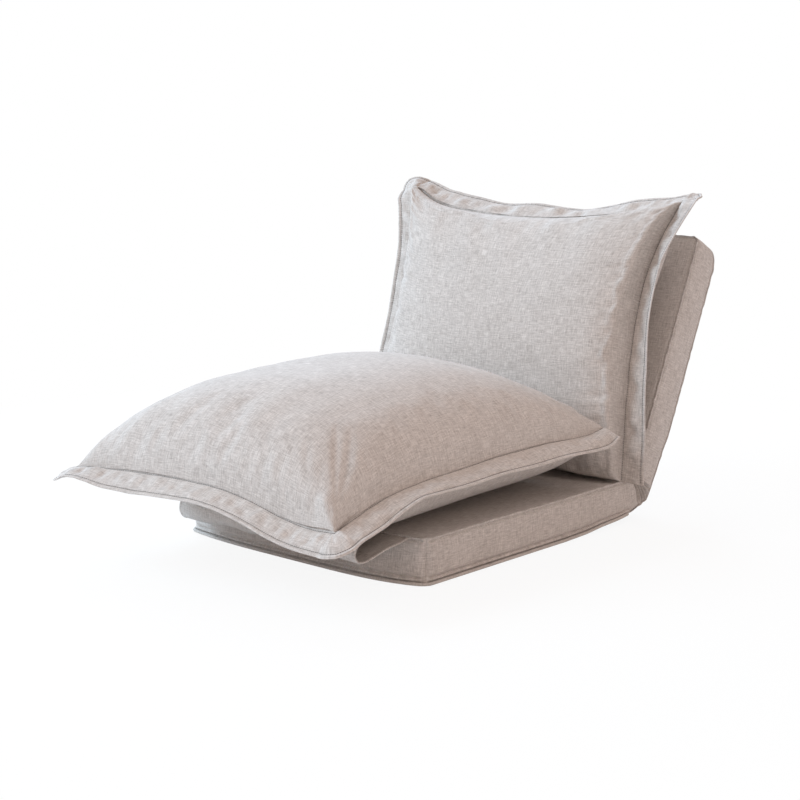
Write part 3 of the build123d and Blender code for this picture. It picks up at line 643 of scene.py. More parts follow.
def curve_through(points, shares):
    """Catmull-Rom curve through points in mm: a cubic between each two, with tangents from their neighbours."""
    points = np.asarray(points, float) / 1000
    padded = np.concatenate([2 * points[:1] - points[1:2], points, 2 * points[-1:] - points[-2:-1]])
    gaps = lengths(points)
    place = np.interp(shares * gaps[-1], gaps, np.arange(len(points)))
    cell = np.minimum(place.astype(int), len(points) - 2)
    t = (place - cell)[:, None]
    a, b, c, d = (padded[cell + shift] for shift in range(4))
    return 0.5 * (2 * b + (c - a) * t + (2 * a - 5 * b + 4 * c - d) * t**2 + (3 * b - a - 3 * c + d) * t**3)


def corner_patch(near, far):
    """Bilinear patch of four corners, rows from near to far."""
    u, v = CUSHION_U[None, :, None], CUSHION_V[:, None, None]
    return (near[0] * (1 - u) + near[-1] * u) * (1 - v) + (far[0] * (1 - u) + far[-1] * u) * v


def stretched(left, right, near, far):
    """A Coons patch: the sum of the two ruled patches less the patch of the four corners."""
    u, v = CUSHION_U[None, :, None], CUSHION_V[:, None, None]
    ruled_across = left[:, None] * (1 - u) + right[:, None] * u
    ruled_along = near[None] * (1 - v) + far[None] * v
    return ruled_across + ruled_along - corner_patch(near, far)


def fullness(share, power, root=None):
    """Height of a stuffed form from edge to edge: (1 - |2s - 1|^power)^(1 / root)."""
    return np.clip(1 - np.abs(2 * share - 1) ** power, 0, 1) ** (1 / (power if root is None else root))


CUSHION_U = crowded(97)
CUSHION_V = crowded(113)
print("cushion panels have", len(CUSHION_U) * len(CUSHION_V), "points each")

# %% [markdown]
# ## Puckers
# Close to the seam the panel is gathered, so short folds run up from it and die out in a few centimetres. They
# could be sculpted one by one. Waves along the seam that fade with the distance from it give all of them at once,
# and they go in before the stuffing, as they do when a cover is sewn.


# %% Panels with puckers
GATHERS = ((2.8, 0.016, 0.026, 0), (2.2, 0.050, 0.085, 10))
LOWER_CUT = 1.3


def puckers(seam_gap, along, depth, length, wavelength, seed):
    """depth (gap / length) e^(1 - gap / length) times ripples along the seam: nothing on it, deepest near it."""
    rise = seam_gap / length
    return depth * rise * np.exp(1 - rise) * ripples(along, seam_gap * 0.25, wavelength, seed)


def as_is(points):
    return points


def cushion_patches(seam, crown, belly, bulge, place, seed):
    """Upper and lower panel over the seam patch, sides bulging, with puckers, taken to their place by a function.

    Each row of gathers has its depth in mm, its reach and wavelength in metres and its own draw."""
    u, v = CUSHION_U[None, :], CUSHION_V[:, None]
    half_way, half_across = len(CUSHION_V) // 2, len(CUSHION_U) // 2
    width = np.linalg.norm(seam[half_way, -1] - seam[half_way, 0])
    length = np.linalg.norm(seam[-1, half_across] - seam[0, half_across])
    x, y = u * width, v * length
    gathers = 0.0
    for number, (gap, along) in enumerate(((x, y), ((1 - u) * width, y), (y, x), ((1 - v) * length, x))):
        for depth, reach, wavelength, draw in GATHERS:
            gathers = gathers + puckers(gap, along, depth * MM, reach, wavelength, seed + draw + number)
    sway = 2.5 * MM * ripples(x, y, 0.30, seed + 20) * fullness(u, 2) * fullness(v, 2)
    upper = seam.copy()
    upper[..., 2] += crown + gathers + sway
    upper[..., 0] += np.sign(u - 0.5) * bulge * fullness(v, 2) * np.sin(math.pi * np.abs(2 * u - 1) ** 6)
    lower = seam.copy()
    lower[..., 2] -= belly
    flat = cloth_flat(lengths(upper[half_way])[None, :], lengths(upper[:, half_across])[:, None])
    return [(place(upper), flat, 0), (place(lower), flat + LOWER_CUT, 0)]


print("rows of gathers along each seam:", len(GATHERS))

# %% [markdown]
# ## Stuffing
# The filling pushes the panels out until the cloth holds it. A formula gives only the rough form, so Blender's
# Cloth with air pressure inside does the rest: the seam is held, the panels swell for a few steps, and no point
# may go further than the limit, which keeps the form that was read from the photograph.

# %% Stuffing
SWELL_STEPS = 18
SWELL_LIMIT = 0.006
STUFFING = {
    "quality": 4, "mass": 0.3, "use_pressure": True, "uniform_pressure_force": 4.0, "vertex_group_mass": "seam",
    "shrink_min": -0.006, "tension_stiffness": 18, "compression_stiffness": 18, "shear_stiffness": 8,
    "bending_stiffness": 0.6,
}


def stuff(piece, held):
    """Swells a closed cover with Cloth: held points stay, and the rest move at most the limit."""
    mesh = piece.data
    rest = np.empty(len(mesh.vertices) * 3, np.float32)
    mesh.vertices.foreach_get("co", rest)
    rest = rest.reshape(-1, 3)
    group = piece.vertex_groups.new(name="seam")
    group.add([int(number) for number in held], 1.0, "REPLACE")
    cloth = piece.modifiers.new("stuffing", "CLOTH")
    for setting, value in STUFFING.items():
        setattr(cloth.settings, setting, value)
    cloth.settings.effector_weights.gravity = 0
    cloth.collision_settings.use_collision = False
    cloth.point_cache.frame_start = 1
    cloth.point_cache.frame_end = SWELL_STEPS
    for step in range(1, SWELL_STEPS + 1):
        scene.frame_set(step)
    swollen = piece.evaluated_get(bpy.context.evaluated_depsgraph_get()).to_mesh()
    moved = np.empty(len(rest) * 3, np.float32)
    swollen.vertices.foreach_get("co", moved)
    piece.evaluated_get(bpy.context.evaluated_depsgraph_get()).to_mesh_clear()
    piece.modifiers.remove(cloth)
    piece.vertex_groups.remove(group)
    shift = moved.reshape(-1, 3) - rest
    far = np.linalg.norm(shift, axis=1)[:, None]
    shift *= np.minimum(1, SWELL_LIMIT / np.maximum(far, 1e-9))
    print(piece.name, "swelled by", round(float(far.mean()) / MM, 1), "mm on average before the limit")
    scene.frame_set(1)
    return rest + shift


def put_points(piece, points):
    piece.data.vertices.foreach_set("co", points.astype(np.float32).ravel())
    piece.data.update()


def soften(piece):
    """One round of subdivision, the same in the view and in the render."""
    smoother = piece.modifiers.new("soften", "SUBSURF")
    smoother.levels = smoother.render_levels = 1


def held_numbers(number):
    """New numbers of the seam's points: the border of the first panel's grid."""
    grid = number[: len(CUSHION_U) * len(CUSHION_V)].reshape(len(CUSHION_V), len(CUSHION_U))
    return np.unique(np.concatenate([grid[0], grid[-1], grid[:, 0], grid[:, -1]]))


def make_pillow(name, patches, kept_clear):
    """Sews a cushion, stuffs it, keeps it clear of what carries it by a function, and softens it."""
    piece, number = sew(name, patches, [cover_cloth])
    put_points(piece, kept_clear(stuff(piece, held_numbers(number))))
    soften(piece)
    return piece


print("stuffing takes", SWELL_STEPS, "steps")

# %% [markdown]
# ## The seat cushion
# It lies on the seat and reaches out over the front edge. Its front left corner stands forward of the front
# right one, the seam sinks towards the front, and its belly is flat where the seat carries it. Half a cushion
# could be mirrored, but the photograph shows that the two sides differ, so each line has its own points.

# %% Seat cushion
CLEARANCE = 0.0006
SEAT_TOP = THICK + CLEARANCE
SEAT_CROWN = 0.170
SEAT_BULGE = 0.0
seat_left = curve_through([
    (-312, 203, 213), (-300, 100, 204), (-292, -50, 199), (-290, -200, 196),
    (-294, -350, 192), (-305, -500, 185), (-326, -629, 180),
], CUSHION_V)
seat_right = curve_through([
    (312, 205, 213), (305, 154, 205), (296, 21, 206), (291, -105, 203.5), (290, -225, 197),
    (290, -339, 191), (292.5, -449, 178), (300, -553, 154), (312, -590, 151),
], CUSHION_V)
seat_rear = curve_through([
    (-312, 203, 213), (-150, 185, 216), (0, 178, 217), (150, 185, 216), (312, 205, 213),
], CUSHION_U)
seat_front = curve_through([
    (-326, -629, 180), (-249, -618, 184.5), (-170, -607, 189), (-64, -595, 188.5),
    (22, -590, 185), (104, -587, 173), (186, -586, 154), (250, -587, 147.5), (312, -590, 151),
], CUSHION_U)
seat_seam = stretched(seat_left, seat_right, seat_rear, seat_front)


def seat_rest(y):
    """Height that carries the cushion: the seat, and past its front edge the slack cloth rising towards the seam."""
    return SEAT_TOP + 0.024 * eased((FRONT_Y - 0.01 - y) / 0.20)


def seat_cushion_patches():
    u, v = CUSHION_U[None, :], CUSHION_V[:, None]
    level = corner_patch(seat_rear, seat_front)[..., 2]
    crown = fullness(u, 2.1 + (0.1 + 0.5 * v) * (u < 0.5), 2.25) * fullness(v - 0.39 * v * (1 - v), 3.05, 1.92)
    crown = crown * (SEAT_CROWN + level - seat_seam[..., 2])
    depth = seat_seam[..., 2] - seat_rest(seat_seam[..., 1])
    belly = depth * fullness(u, 3.6 + 4.4 * v**2, 2.2 + 0.8 * v**2) * fullness(v, 6, 2.6)
    return cushion_patches(seat_seam, crown, belly, SEAT_BULGE, as_is, 100)


def on_the_seat(points):
    points[:, 2] = np.maximum(points[:, 2], seat_rest(points[:, 1]))
    return points


seat_pillow = make_pillow("seat_pillow", seat_cushion_patches(), on_the_seat)
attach(seat_pillow, "seat_cushion")
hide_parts("seat_cushion_cover", "seat_cushion_insert")

# %% [markdown]
# ## The back cushion
# It stands on the seat at the fold and leans on the back, a little more upright than it. It is worked out lying
# flat, with across, along and off the back as its three ways, because heights are easier to think of that way,
# and then it is stood up.

# %% Back cushion
LEAN = math.radians(17.7)
FOOT = np.array([0.0, 0.265, 0.0904])
CUSHION_ALONG = np.array([0.0, math.sin(LEAN), math.cos(LEAN)])
CUSHION_OFF = np.array([0.0, -math.cos(LEAN), math.sin(LEAN)])
BACK_CROWN = 0.110
BACK_BULGE = 0.006
back_left = curve_through([
    (-325, 0, 0), (-327, 150, 8), (-322, 300, 16), (-325, 440, 20), (-345, 530, 25),
    (-372, 584, 30),
], CUSHION_V)
back_right = curve_through([
    (315, 0, 0), (300, 130, 8), (291, 270, 18), (290, 380, 20), (299, 455, 20),
    (319, 527, 20), (345, 588, 20),
], CUSHION_V)
back_foot = curve_through([(-325, 0, 0), (0, 4, 0), (315, 0, 0)], CUSHION_U)
back_top = curve_through([
    (-372, 584, 30), (-300, 549, 16), (-185, 536, 8), (-70, 534, 5), (35, 538, 5),
    (138, 548, 8), (238, 561, 13), (300, 573, 16), (345, 588, 20),
], CUSHION_U)
back_seam = stretched(back_left, back_right, back_foot, back_top)
OFF_SLAB = np.array([0.0, *OFF_BACK])
SLAB_FACE = HINGE + OFF_SLAB * HALF_THICK


def stood_up(points):
    """foot + across X + along the cushion + off the back."""
    across, along, off = points[..., :1], points[..., 1:2], points[..., 2:]
    return FOOT + across * np.array([1.0, 0, 0]) + along * CUSHION_ALONG + off * CUSHION_OFF


def slab_gap(points):
    """How far points are off the back slab's face."""
    return (points - SLAB_FACE) @ OFF_SLAB


def back_cushion_patches():
    u, v = CUSHION_U[None, :], CUSHION_V[:, None]
    crown = BACK_CROWN * fullness(u, 3.5) * fullness(v, 3)
    depth = slab_gap(stood_up(back_seam)) - 0.001
    belly = depth * fullness(u, 4, 2.0) * fullness(v, 4, 2.0)
    return cushion_patches(back_seam, crown, belly, BACK_BULGE, stood_up, 200)


def off_the_back(points):
    sunk = np.minimum(slab_gap(points) - CLEARANCE, 0)
    points = points - sunk[:, None] * OFF_SLAB
    points[:, 2] = np.maximum(points[:, 2], SEAT_TOP)
    return points


back_pillow = make_pillow("back_pillow", back_cushion_patches(), off_the_back)
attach(back_pillow, "back_cushion")
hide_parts("back_cushion_cover", "back_cushion_insert")

# %% [markdown]
# ## Two layers of cloth
# The flanges and the flap are two layers of cloth with a little air between them. A Solidify modifier would give
# them one even thickness. Here a middle surface is worked out, both layers are set off from it by a thickness
# that changes from place to place, and strips close the edges.


# %% Two layers from a middle surface
LAYER_CUT = 0.9


def surface_outside(grid):
    """Unit vectors square to a grid of points: the cross product of its two ways."""
    outside = np.cross(np.gradient(grid, axis=0), np.gradient(grid, axis=1))
    return outside / np.maximum(np.linalg.norm(outside, axis=-1), 1e-12)[..., None]


def doubled(middle, half, flat):
    """Two layers half a thickness off a middle surface, and the four edges that close them."""
    outside = surface_outside(middle)
    upper = middle + outside * half[..., None]
    lower = middle - outside * half[..., None]
    rims = (np.s_[0], np.s_[-1], np.s_[:, 0], np.s_[:, -1])
    edges = [(np.stack([upper[rim], lower[rim]]), np.stack([flat[rim], flat[rim]]), 0) for rim in rims]
    return [(upper, flat, 0), (lower, flat + LAYER_CUT, 0), *edges], upper, outside


print("the lower layer is cut", LAYER_CUT, "m along the cloth")

# %% [markdown]
# ## Flanges
# Outside the seam the two panels are sewn flat to each other and make a soft border on three sides. A simulated
# strip would hang as it liked, so the droop is read from the photograph into tables. The strip starts just inside
# the seam and bends as it goes out. At a corner it fans round to make a pointed ear. A line of stitches runs
# close to its rolled edge, and the cloth puckers between seam and stitches.

# %% Strip round three sides
FLANGE_WIDTH = 0.058
FLANGE_MIDDLE = 0.03
FLANGE_TUCK = 0.008
FLANGE_PLACES = np.array([0, 0.04, 0.075, 0.095, 0.115, 0.135, 0.16, 0.20, 0.26, 0.34, 0.43, 0.52, 0.61, 0.70, 0.77,
                          0.82, 0.85, 0.875, 0.90, 0.925, 0.95, 0.97, 0.988, 1.0])
SEAM_PLACE = 4
STITCH_PLACE = 16


def flange_section(place):
    """Half thickness across the flange, in metres: air between the layers, a stitched groove and a rolled edge."""
    air = 1.7 + 1.1 * np.sin(math.pi * np.clip(place / 0.88, 0, 1))
    seam, stitches = FLANGE_PLACES[[SEAM_PLACE, STITCH_PLACE]]
    grooves = -2.2 * hump(place - seam, 0.030) - 1.3 * hump(place - stitches, 0.036)
    roll = 1.1 * hump(place - 0.94, 0.045)
    close = np.clip((1 - place) * FLANGE_WIDTH / 0.0018, 0.12, 1) ** 0.5
    return MM * np.maximum(air * (1 - 0.4 * eased((place - 0.7) / 0.15)) + grooves + roll, 0.3) * close


def flange_grid(sides, forward, tilt, bend, reach, waves, seed):
    """A strip round three sides: seam + outward cos and up -sin of (tilt + bend w), summed along the width.

    Sides are the seam's lines left, far and right; forward is the way the far side faces; tilt and bend in
    degrees and reach in mm are tables over 0 to 5: left side, corner, far side, corner, right side."""
    left, far, right = sides
    across = np.array([1.0, 0, 0])
    fan = np.radians(np.linspace(0, 90, 15))
    ways = [
        np.repeat(-across[None], len(left), 0),
        -np.cos(fan)[:, None] * across + np.sin(fan)[:, None] * forward,
        np.repeat(forward[None], len(far), 0),
        np.sin(fan)[::-1][:, None] * forward + np.cos(fan)[::-1][:, None] * across,
        np.repeat(across[None], len(right), 0),
    ]
    seams = [left, np.repeat(left[-1:], len(fan), 0), far, np.repeat(far[-1:], len(fan), 0), right]
    places = [number + np.linspace(0, 1, len(line)) for number, line in enumerate(seams)]
    inner = [slice(None), slice(1, -1), slice(None), slice(1, -1), slice(None)]
    seam, way, place = (
        np.concatenate([part[cut] for part, cut in zip(parts, inner)]) for parts in (seams, ways, places)
    )
    reach = MM * np.interp(place, *reach)
    w = FLANGE_PLACES[None, :]
    angle = np.radians(np.interp(place, *tilt)[:, None] + np.interp(place, *bend)[:, None] * w)
    step = np.diff(FLANGE_PLACES)[None, :]
    middle = (angle[:, 1:] + angle[:, :-1]) / 2
    start = np.zeros((len(seam), 1))
    out, fall = (np.hstack([start, np.cumsum(part(middle) * step, axis=1)]) for part in (np.cos, np.sin))
    grid = seam[:, None] + way[:, None] * (out * reach[:, None] - FLANGE_TUCK * (1 - w) ** 4)[..., None]
    grid[..., 2] -= fall * reach[:, None]
    s = lengths(seam + way * FLANGE_MIDDLE)[:, None]
    lift = waves * w**1.5 * ripples(s, 0 * s, 0.17, seed) * MM
    slack = np.sin(math.pi * np.clip((w - 0.1) / 0.77, 0, 1))
    lift = lift + 4.6 * MM * slack * ripples(s, w * 0.03, 0.040, seed + 1)
    lift = lift + 3.2 * MM * slack**2 * ripples(s, w * 0.03, 0.022, seed + 2)
    grid = grid + surface_outside(grid) * lift[..., None]
    return grid, cloth_flat(s, w * FLANGE_WIDTH)


print("flange is", FLANGE_WIDTH / MM, "mm wide")

# %% [markdown]
# ## The stitches
# Under a close look the lines on the seam and beside the rolled edge are rows of single stitches, on both faces
# of the flange. A texture would do from afar, but real beads of thread hold up close by. One bead is worked out
# once and set down along each line, turned to follow the cloth. The thread is coloured far darker than the
# cloth: its dark colour is painted shade of the seam lines.

# %% Thread and stitches
STITCH_PITCH = 0.0046
STITCH_LONG = 0.0040
STITCH_THICK = 0.0014


def own_place(wire):
    """Coordinates in the piece's own frame, in metres: the fourth output of the node."""
    return wire.node("TexCoord", out=3)


def make_thread():
    """Twisted polyester thread, coloured dark brown-grey as painted shade of the seam lines: a stripe across the
    stitch, a little shinier than the cloth.
    """
    material, shader, wire = new_finish("thread_painted_seam_shade")
    twist = wire.node("TexNoise", {}, {"Vector": own_place(wire), "Scale": 900.0, "Detail": 1.0})
    # dark brown-grey, far below the cloth's own tones: painted shade for the dark seam lines
    colour = mixed_colour(wire, twist, (0.12, 0.108, 0.098), (0.22, 0.20, 0.185))
    wire.fill(shader, {"Base Color": colour, "Roughness": 0.7 - twist * 0.15})
    return material


thread = make_thread()


def stitch_row(name, line, outside):
    """Beads along a line: centre + along cos + side and outside sin, one bead to each stitch."""
    way = lengths(line)
    marks = np.arange(STITCH_PITCH, way[-1] - STITCH_PITCH, STITCH_PITCH)
    centre, up = (
        np.stack([np.interp(marks, way, values[:, axis]) for axis in range(3)], axis=1) for values in (line, outside)
    )
    up = unit(up)
    along = unit(np.gradient(centre, axis=0))
    side = np.cross(along, up)
    ring = np.linspace(0, math.pi, 5)
    around = np.linspace(0, 2 * math.pi, 7)
    bead_along = -np.cos(ring)[:, None] * STITCH_LONG / 2 + 0 * around
    bead_side = np.sin(ring)[:, None] * STITCH_THICK / 2 * np.cos(around)
    bead_up = np.sin(ring)[:, None] * STITCH_THICK / 2 * np.sin(around)
    centre = centre + up * STITCH_THICK * 0.3
    beads = (
        centre[:, None, None] + bead_along[None, ..., None] * along[:, None, None]
        + bead_side[None, ..., None] * side[:, None, None] + bead_up[None, ..., None] * up[:, None, None]
    )
    flat = np.zeros(beads.shape[1:3] + (2,))
    return sew(name, [(bead, flat, 0) for bead in beads], [thread])[0]


def make_flange(name, body, stands_for, grid, flat, place):
    """Flange piece and its two rows of stitches on both faces, riding with the cushion."""
    middle = place(grid)
    half = np.broadcast_to(flange_section(FLANGE_PLACES)[None], middle.shape[:2])
    patches, upper, outside = doubled(middle, half, flat)
    piece, _ = sew(name, patches, [cover_cloth])
    soften(piece)
    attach(piece, body)
    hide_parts(stands_for)
    for use, number in (("seam", SEAM_PLACE), ("edge", STITCH_PLACE)):
        under = 2 * middle[:, number] - upper[:, number]
        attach(stitch_row(f"{name}_{use}_stitches", upper[:, number], outside[:, number]), body)
        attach(stitch_row(f"{name}_{use}_stitches_under", under, -outside[:, number]), body)


print("stitches are", STITCH_PITCH / MM, "mm apart")

# %% [markdown]
# ## The seat cushion's flange
# It droops by 4 to 34 degrees, so its edge swings up and down on its way round. It comes to an ear at both
# front corners, and the right ear is longer than the left one.

# %% Seat flange
seat_tilt = ([0, 0.5, 0.7, 0.9, 1.25, 1.5, 2, 2.06, 2.13, 2.19, 2.25, 2.34, 2.5, 2.69, 2.81, 3, 3.5, 4.07, 4.2, 4.32,
              4.5, 4.64, 5],
             [13, 11, 18, 28, 34, 33, 18, 6, 4, 8, 18, 28, 21, 17, 25, 34, 18, 12, 20, 4, 15, 22, 13])
seat_bend = ([0, 5], [8, 8])
seat_reach = ([0, 1, 1.5, 2, 3, 3.5, 4, 4.9, 5], [58, 58, 46, 58, 58, 75, 58, 56, 44])
seat_sides = (seat_left, seat_front, seat_right[::-1])
seat_grid, seat_flat = flange_grid(seat_sides, np.array([0, -1.0, 0]), seat_tilt, seat_bend, seat_reach, 4.5, 301)
make_flange(
    "seat_pillow_flange", "seat_cushion", "seat_cushion_flange", seat_grid, seat_flat, as_is
)

# %% [markdown]
# ## The back cushion's flange
# It lies flat at the foot, curls towards the sitter up both sides, more on the right, leans back along the top
# and comes to two ears that point up and out.

# %% Back flange
back_tilt = ([0, 0.3, 0.6, 0.75, 0.88, 0.97, 1, 1.25, 1.5, 1.75, 2, 2.08, 2.13, 2.2, 2.29, 2.38, 2.46, 2.58, 2.71,
              2.79, 2.92, 3, 3.25, 3.5, 3.75, 4, 4.1, 4.3, 4.45, 4.6, 4.8, 5],
             [0, -6, -14, -16, -10, 20, 25, 30, 42, 55, 65, 53, 45, 38, 41, 47, 46, 55, 45, 45, 50, 60, 60, 48, 20,
              -25, -28, -36, -28, -18, -2, 0])
back_bend = ([0, 1, 2, 3, 3.25, 4, 4.2, 4.5, 5], [0, 0, 4, 4, 0, -4, -8, -6, 0])
back_reach = ([0, 1.25, 1.5, 1.75, 2, 3, 3.25, 3.5, 3.75, 4, 5], [58, 58, 52, 50, 58, 58, 55, 43, 38, 58, 58])
back_sides = (back_left, back_top, back_right[::-1])
back_grid, back_flat = flange_grid(back_sides, np.array([0, 1.0, 0]), back_tilt, back_bend, back_reach, 3.5, 401)
make_flange(
    "back_pillow_flange", "back_cushion", "back_cushion_flange", back_grid, back_flat, stood_up
)

# %% [markdown]
# ## The flap under the seat cushion
# A loose strip of the same cloth is sewn to the seat's front edge, goes forward, turns in a fold and comes back
# to the cushion's underside, so the cushion can be turned over as a foot rest without sliding away. In the
# photograph the fold is deeper on the right than on the left, which a hanging simulation would not know. So each
# section is a smooth curve through a few points, and the sections change evenly from left to right.


# %% Flap
FLAP_HALF_WIDE = 0.272
FLAP_LONG = 0.24
FLAP_SHARES = np.linspace(0, 1, 72)
flap_right = curve_through([
    (-343.5, 86.8), (-362, 82.2), (-395, 76), (-435, 68.5), (-470, 65), (-488, 69),
    (-495.5, 79.5), (-492.5, 90.5), (-480, 97.5), (-455, 100), (-425, 97.5),
], FLAP_SHARES)
flap_left = curve_through([
    (-343.5, 86.8), (-355, 74), (-374, 57), (-394, 47), (-409, 50), (-417.5, 62),
    (-416, 76), (-408, 86), (-396, 91.5), (-382, 91.5), (-370, 90.5),
], FLAP_SHARES)


def flap_grid():
    """(x, left + (right - left) share), with soft waves in the fold and a hem along both open ends."""
    fine = np.array([0, 0.0015, 0.003, 0.005, 0.0065, 0.008, 0.011, 0.018])
    x = edged(2 * FLAP_HALF_WIDE, fine, 0.0105) - FLAP_HALF_WIDE
    share = eased((x + FLAP_HALF_WIDE) / (2 * FLAP_HALF_WIDE) * 0.9 + 0.05)[None, :, None]
    line = flap_left[:, None] + (flap_right[:, None] - flap_left[:, None]) * share
    way = FLAP_SHARES[:, None]
    sag = eased(way / 0.2) * eased((1 - way) / 0.25)
    grid = np.concatenate([np.broadcast_to(x[None, :, None], line.shape[:2] + (1,)), line], axis=-1)
    grid[..., 2] += sag * MM * 3.0 * ripples(way * 0.2, x[None, :], 0.13, 61)
    grid[..., 2] += 0.085 * (1 - fullness(x / 0.59 + 0.5, 6.5, 2.7)) * eased((way - 0.7) / 0.28)
    grid[..., 1] += sag * MM * 4.0 * ripples(way * 0.1, x[None, :], 0.19, 62)
    gap = (FLAP_HALF_WIDE - np.abs(x))[None, :]
    hem = 0.9 * hump(gap - 0.0035, 0.0026) - 0.55 * hump(gap - 0.0072, 0.0012)
    half = MM * (1.4 + hem) * np.clip(gap / 0.0016, 0.15, 1) ** 0.5
    return grid, np.broadcast_to(half, grid.shape[:2]), cloth_flat(x[None, :], way * FLAP_LONG)


flap_middle, flap_half, flap_flat = flap_grid()
flap_patches, _, _ = doubled(flap_middle, flap_half, flap_flat)
pillow_flap, _ = sew("pillow_flap", flap_patches, [cover_cloth])
flap_lengths = np.linalg.norm(np.diff(flap_middle, axis=0), axis=-1).sum(axis=0)
flap_steps = np.diff(flap_middle[0, :, 0])
flap_area = float(((flap_lengths[1:] + flap_lengths[:-1]) / 2 * flap_steps).sum())
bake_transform(pillow_flap)
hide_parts("cushion_flap")
print("flap is cut", round(float(flap_lengths.min()), 3), "to", round(float(flap_lengths.max()), 3), "m long")

# %% [markdown]
# ## The hidden metal and webbing
# Nobody sees the frame until the cover is off, but a part in a library should be right inside as well. Each
# metal gets its own finish: powder coat on the tubes, zinc on the plates, brighter rivets and blued springs. The
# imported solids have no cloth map, so these finishes follow the solid's own coordinates.


# %% Finishes of the frame
def make_metal(name, dark, light, rough, metallic, grain):
    """Metal: colour and roughness follow a drawn-out noise, as rolling and handling leave them."""
    material, shader, wire = new_finish(name)
    drawn = wire.node("Mapping", {}, {"Vector": own_place(wire), "Scale": grain})
    streak = wire.node("TexNoise", {}, {"Vector": drawn, "Scale": 1.0, "Detail": 4.0})
    wire.fill(shader, {
        "Base Color": mixed_colour(wire, streak, dark, light),
        "Roughness": streak * 0.2 + (rough - 0.1),
        "Normal": wire.node("Bump", {}, {"Strength": 0.2, "Distance": 0.0002, "Height": streak}),
        "Metallic": metallic,
    })
    return material


def make_webbing():
    """Woven polypropylene strap: two crossed waves make the plain weave."""
    material, shader, wire = new_finish("webbing_black")
    across, along = (
        wire.node("TexWave", {"bands_direction": way}, {"Vector": own_place(wire), "Scale": 160.0, "Distortion": 0.6})
        for way in "XY"
    )
    weave = across * 0.5 + along * 0.5
    wire.fill(shader, {
        "Base Color": mixed_colour(wire, weave, (0.012, 0.012, 0.014), (0.05, 0.05, 0.055)),
        "Roughness": 0.8 - weave * 0.2,
        "Normal": wire.node("Bump", {}, {"Strength": 0.4, "Distance": 0.0004, "Height": weave}),
    })
    return material


tube_paint = make_metal("tube_powder_coat", (0.012, 0.012, 0.014), (0.03, 0.03, 0.033), 0.5, 0.0, (700, 700, 700))
plate_zinc = make_metal("plate_zinc", (0.42, 0.43, 0.44), (0.62, 0.62, 0.61), 0.38, 1.0, (400, 60, 60))
rivet_steel = make_metal("rivet_steel", (0.55, 0.55, 0.54), (0.72, 0.71, 0.70), 0.28, 1.0, (500, 500, 500))
spring_blue = make_metal("spring_blued", (0.10, 0.12, 0.16), (0.24, 0.26, 0.31), 0.3, 1.0, (60, 500, 500))
HIDDEN_FINISHES = {
    tube_paint: ("seat_frame", "seat_cross_tubes", "back_frame", "back_cross_tubes"),
    plate_zinc: ("ratchet_cheeks", "ratchet_sectors", "ratchet_pawls"),
    rivet_steel: ("pivot_rivets", "pawl_pins", "spring_posts", "seat_tail_rivets", "back_tail_rivets"),
    spring_blue: ("pawl_springs",),
    make_webbing(): ("seat_straps", "back_straps"),
}
for finish, names in HIDDEN_FINISHES.items():
    for name in names:
        frame["nodes"][name].data.materials.clear()
        frame["nodes"][name].data.materials.append(finish)
print("finished", sum(len(names) for names in HIDDEN_FINISHES.values()), "hidden pieces")

# %% [markdown]
# ## Floor and light
# The photograph has a plain white ground. The world is white to the camera and a warm grey to the cloth. Two
# wide bluish lamps stand on the left, in front and behind, and a weak one hangs high on the right. The floor
# shows a part of its own lit colour, so the chair's shadow stays on it.


# %% Floor, sky and lamps
SKY_COLOUR = (0.727, 0.596, 0.550)
WHITE = (1, 1, 1)
FLOOR_REACH = 30.0


def seen_rays(wire):
    """1 for rays from the camera, off a mirror or through glass, and 0 for the light between things."""
    outputs = wire.node("LightPath").socket.node.outputs
    camera_ray, glossy, through = (
        Wire(wire.tree, outputs[f"Is {kind} Ray"]) for kind in ("Camera", "Glossy", "Transmission")
    )
    return wire.node("Math", {"operation": "MINIMUM"}, {0: camera_ray + glossy + through, 1: 1.0})


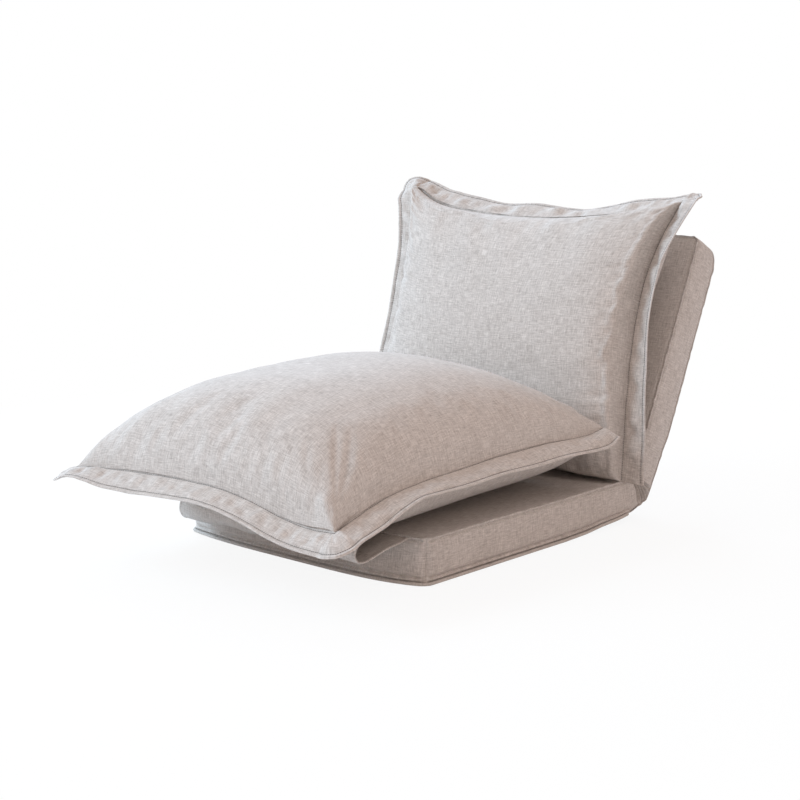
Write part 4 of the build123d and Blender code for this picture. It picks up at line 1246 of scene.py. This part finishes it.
def make_sky():
    world = bpy.data.worlds.new("studio")
    scene.world = world
    world.use_nodes = True
    wire = Wire(world.node_tree)
    colour = mixed_colour(wire, seen_rays(wire), SKY_COLOUR, WHITE)
    wire.fill(world.node_tree.nodes["Background"], {"Color": colour})


def make_floor():
    """A white floor: a share of plain white to the camera, all of it far off, the rest lit with the shadow on it."""
    mesh = bpy.data.meshes.new("floor")
    corners = [(x * FLOOR_REACH, y * FLOOR_REACH, -CLEARANCE) for y in (-1, 1) for x in (-1, 1)]
    mesh.from_pydata(corners, [], [[0, 1, 3, 2]])
    floor = bpy.data.objects.new("floor", mesh)
    scene.collection.objects.link(floor)
    material, shader, wire = new_finish("floor_white")
    wire.fill(shader, {"Base Color": (0.88, 0.88, 0.88, 1), "Roughness": 0.8})
    white = wire.node("Emission", {}, {"Color": (*WHITE, 1), "Strength": 1.0})
    far = wire.node("VectorMath", {"operation": "LENGTH"}, {0: own_place(wire)})
    fade = wire.node("Math", {"operation": "MULTIPLY_ADD", "use_clamp": True}, {0: far, 1: 0.9, 2: -0.55})
    lit = Wire(wire.tree, shader.outputs[0])
    shown = wire.node("MixShader", {}, {0: seen_rays(wire) * (fade * 0.1 + 0.9), 1: lit, 2: white})
    wire.fill(wire.tree.nodes["Material Output"], {"Surface": shown})
    mesh.materials.append(material)


def make_lamp(name, place, aim, size, power, colour):
    lamp = bpy.data.lights.new(name, "AREA")
    lamp.shape = "SQUARE"
    lamp.size = size
    lamp.energy = power
    lamp.color = colour
    holder = bpy.data.objects.new(name, lamp)
    holder.location = place
    holder.rotation_mode = "QUATERNION"
    holder.rotation_quaternion = (Vector(aim) - Vector(place)).to_track_quat("-Z", "Y")
    scene.collection.objects.link(holder)


make_sky()
make_floor()
make_lamp("window_left", (-2.6, -2.4, 2.3), (0, -0.05, 0.25), 2.4, 147, (0.585, 0.81, 1.0))
make_lamp("window_rear", (-2.2, 1.8, 2.2), (0, -0.05, 0.25), 2.4, 85, (0.55, 0.78, 1.0))
make_lamp("ceiling_right", (1.4, -0.5, 2.7), (0.2, -0.1, 0.1), 2.0, 8, (0.95, 0.97, 1.0))
print("sky colour", SKY_COLOUR)
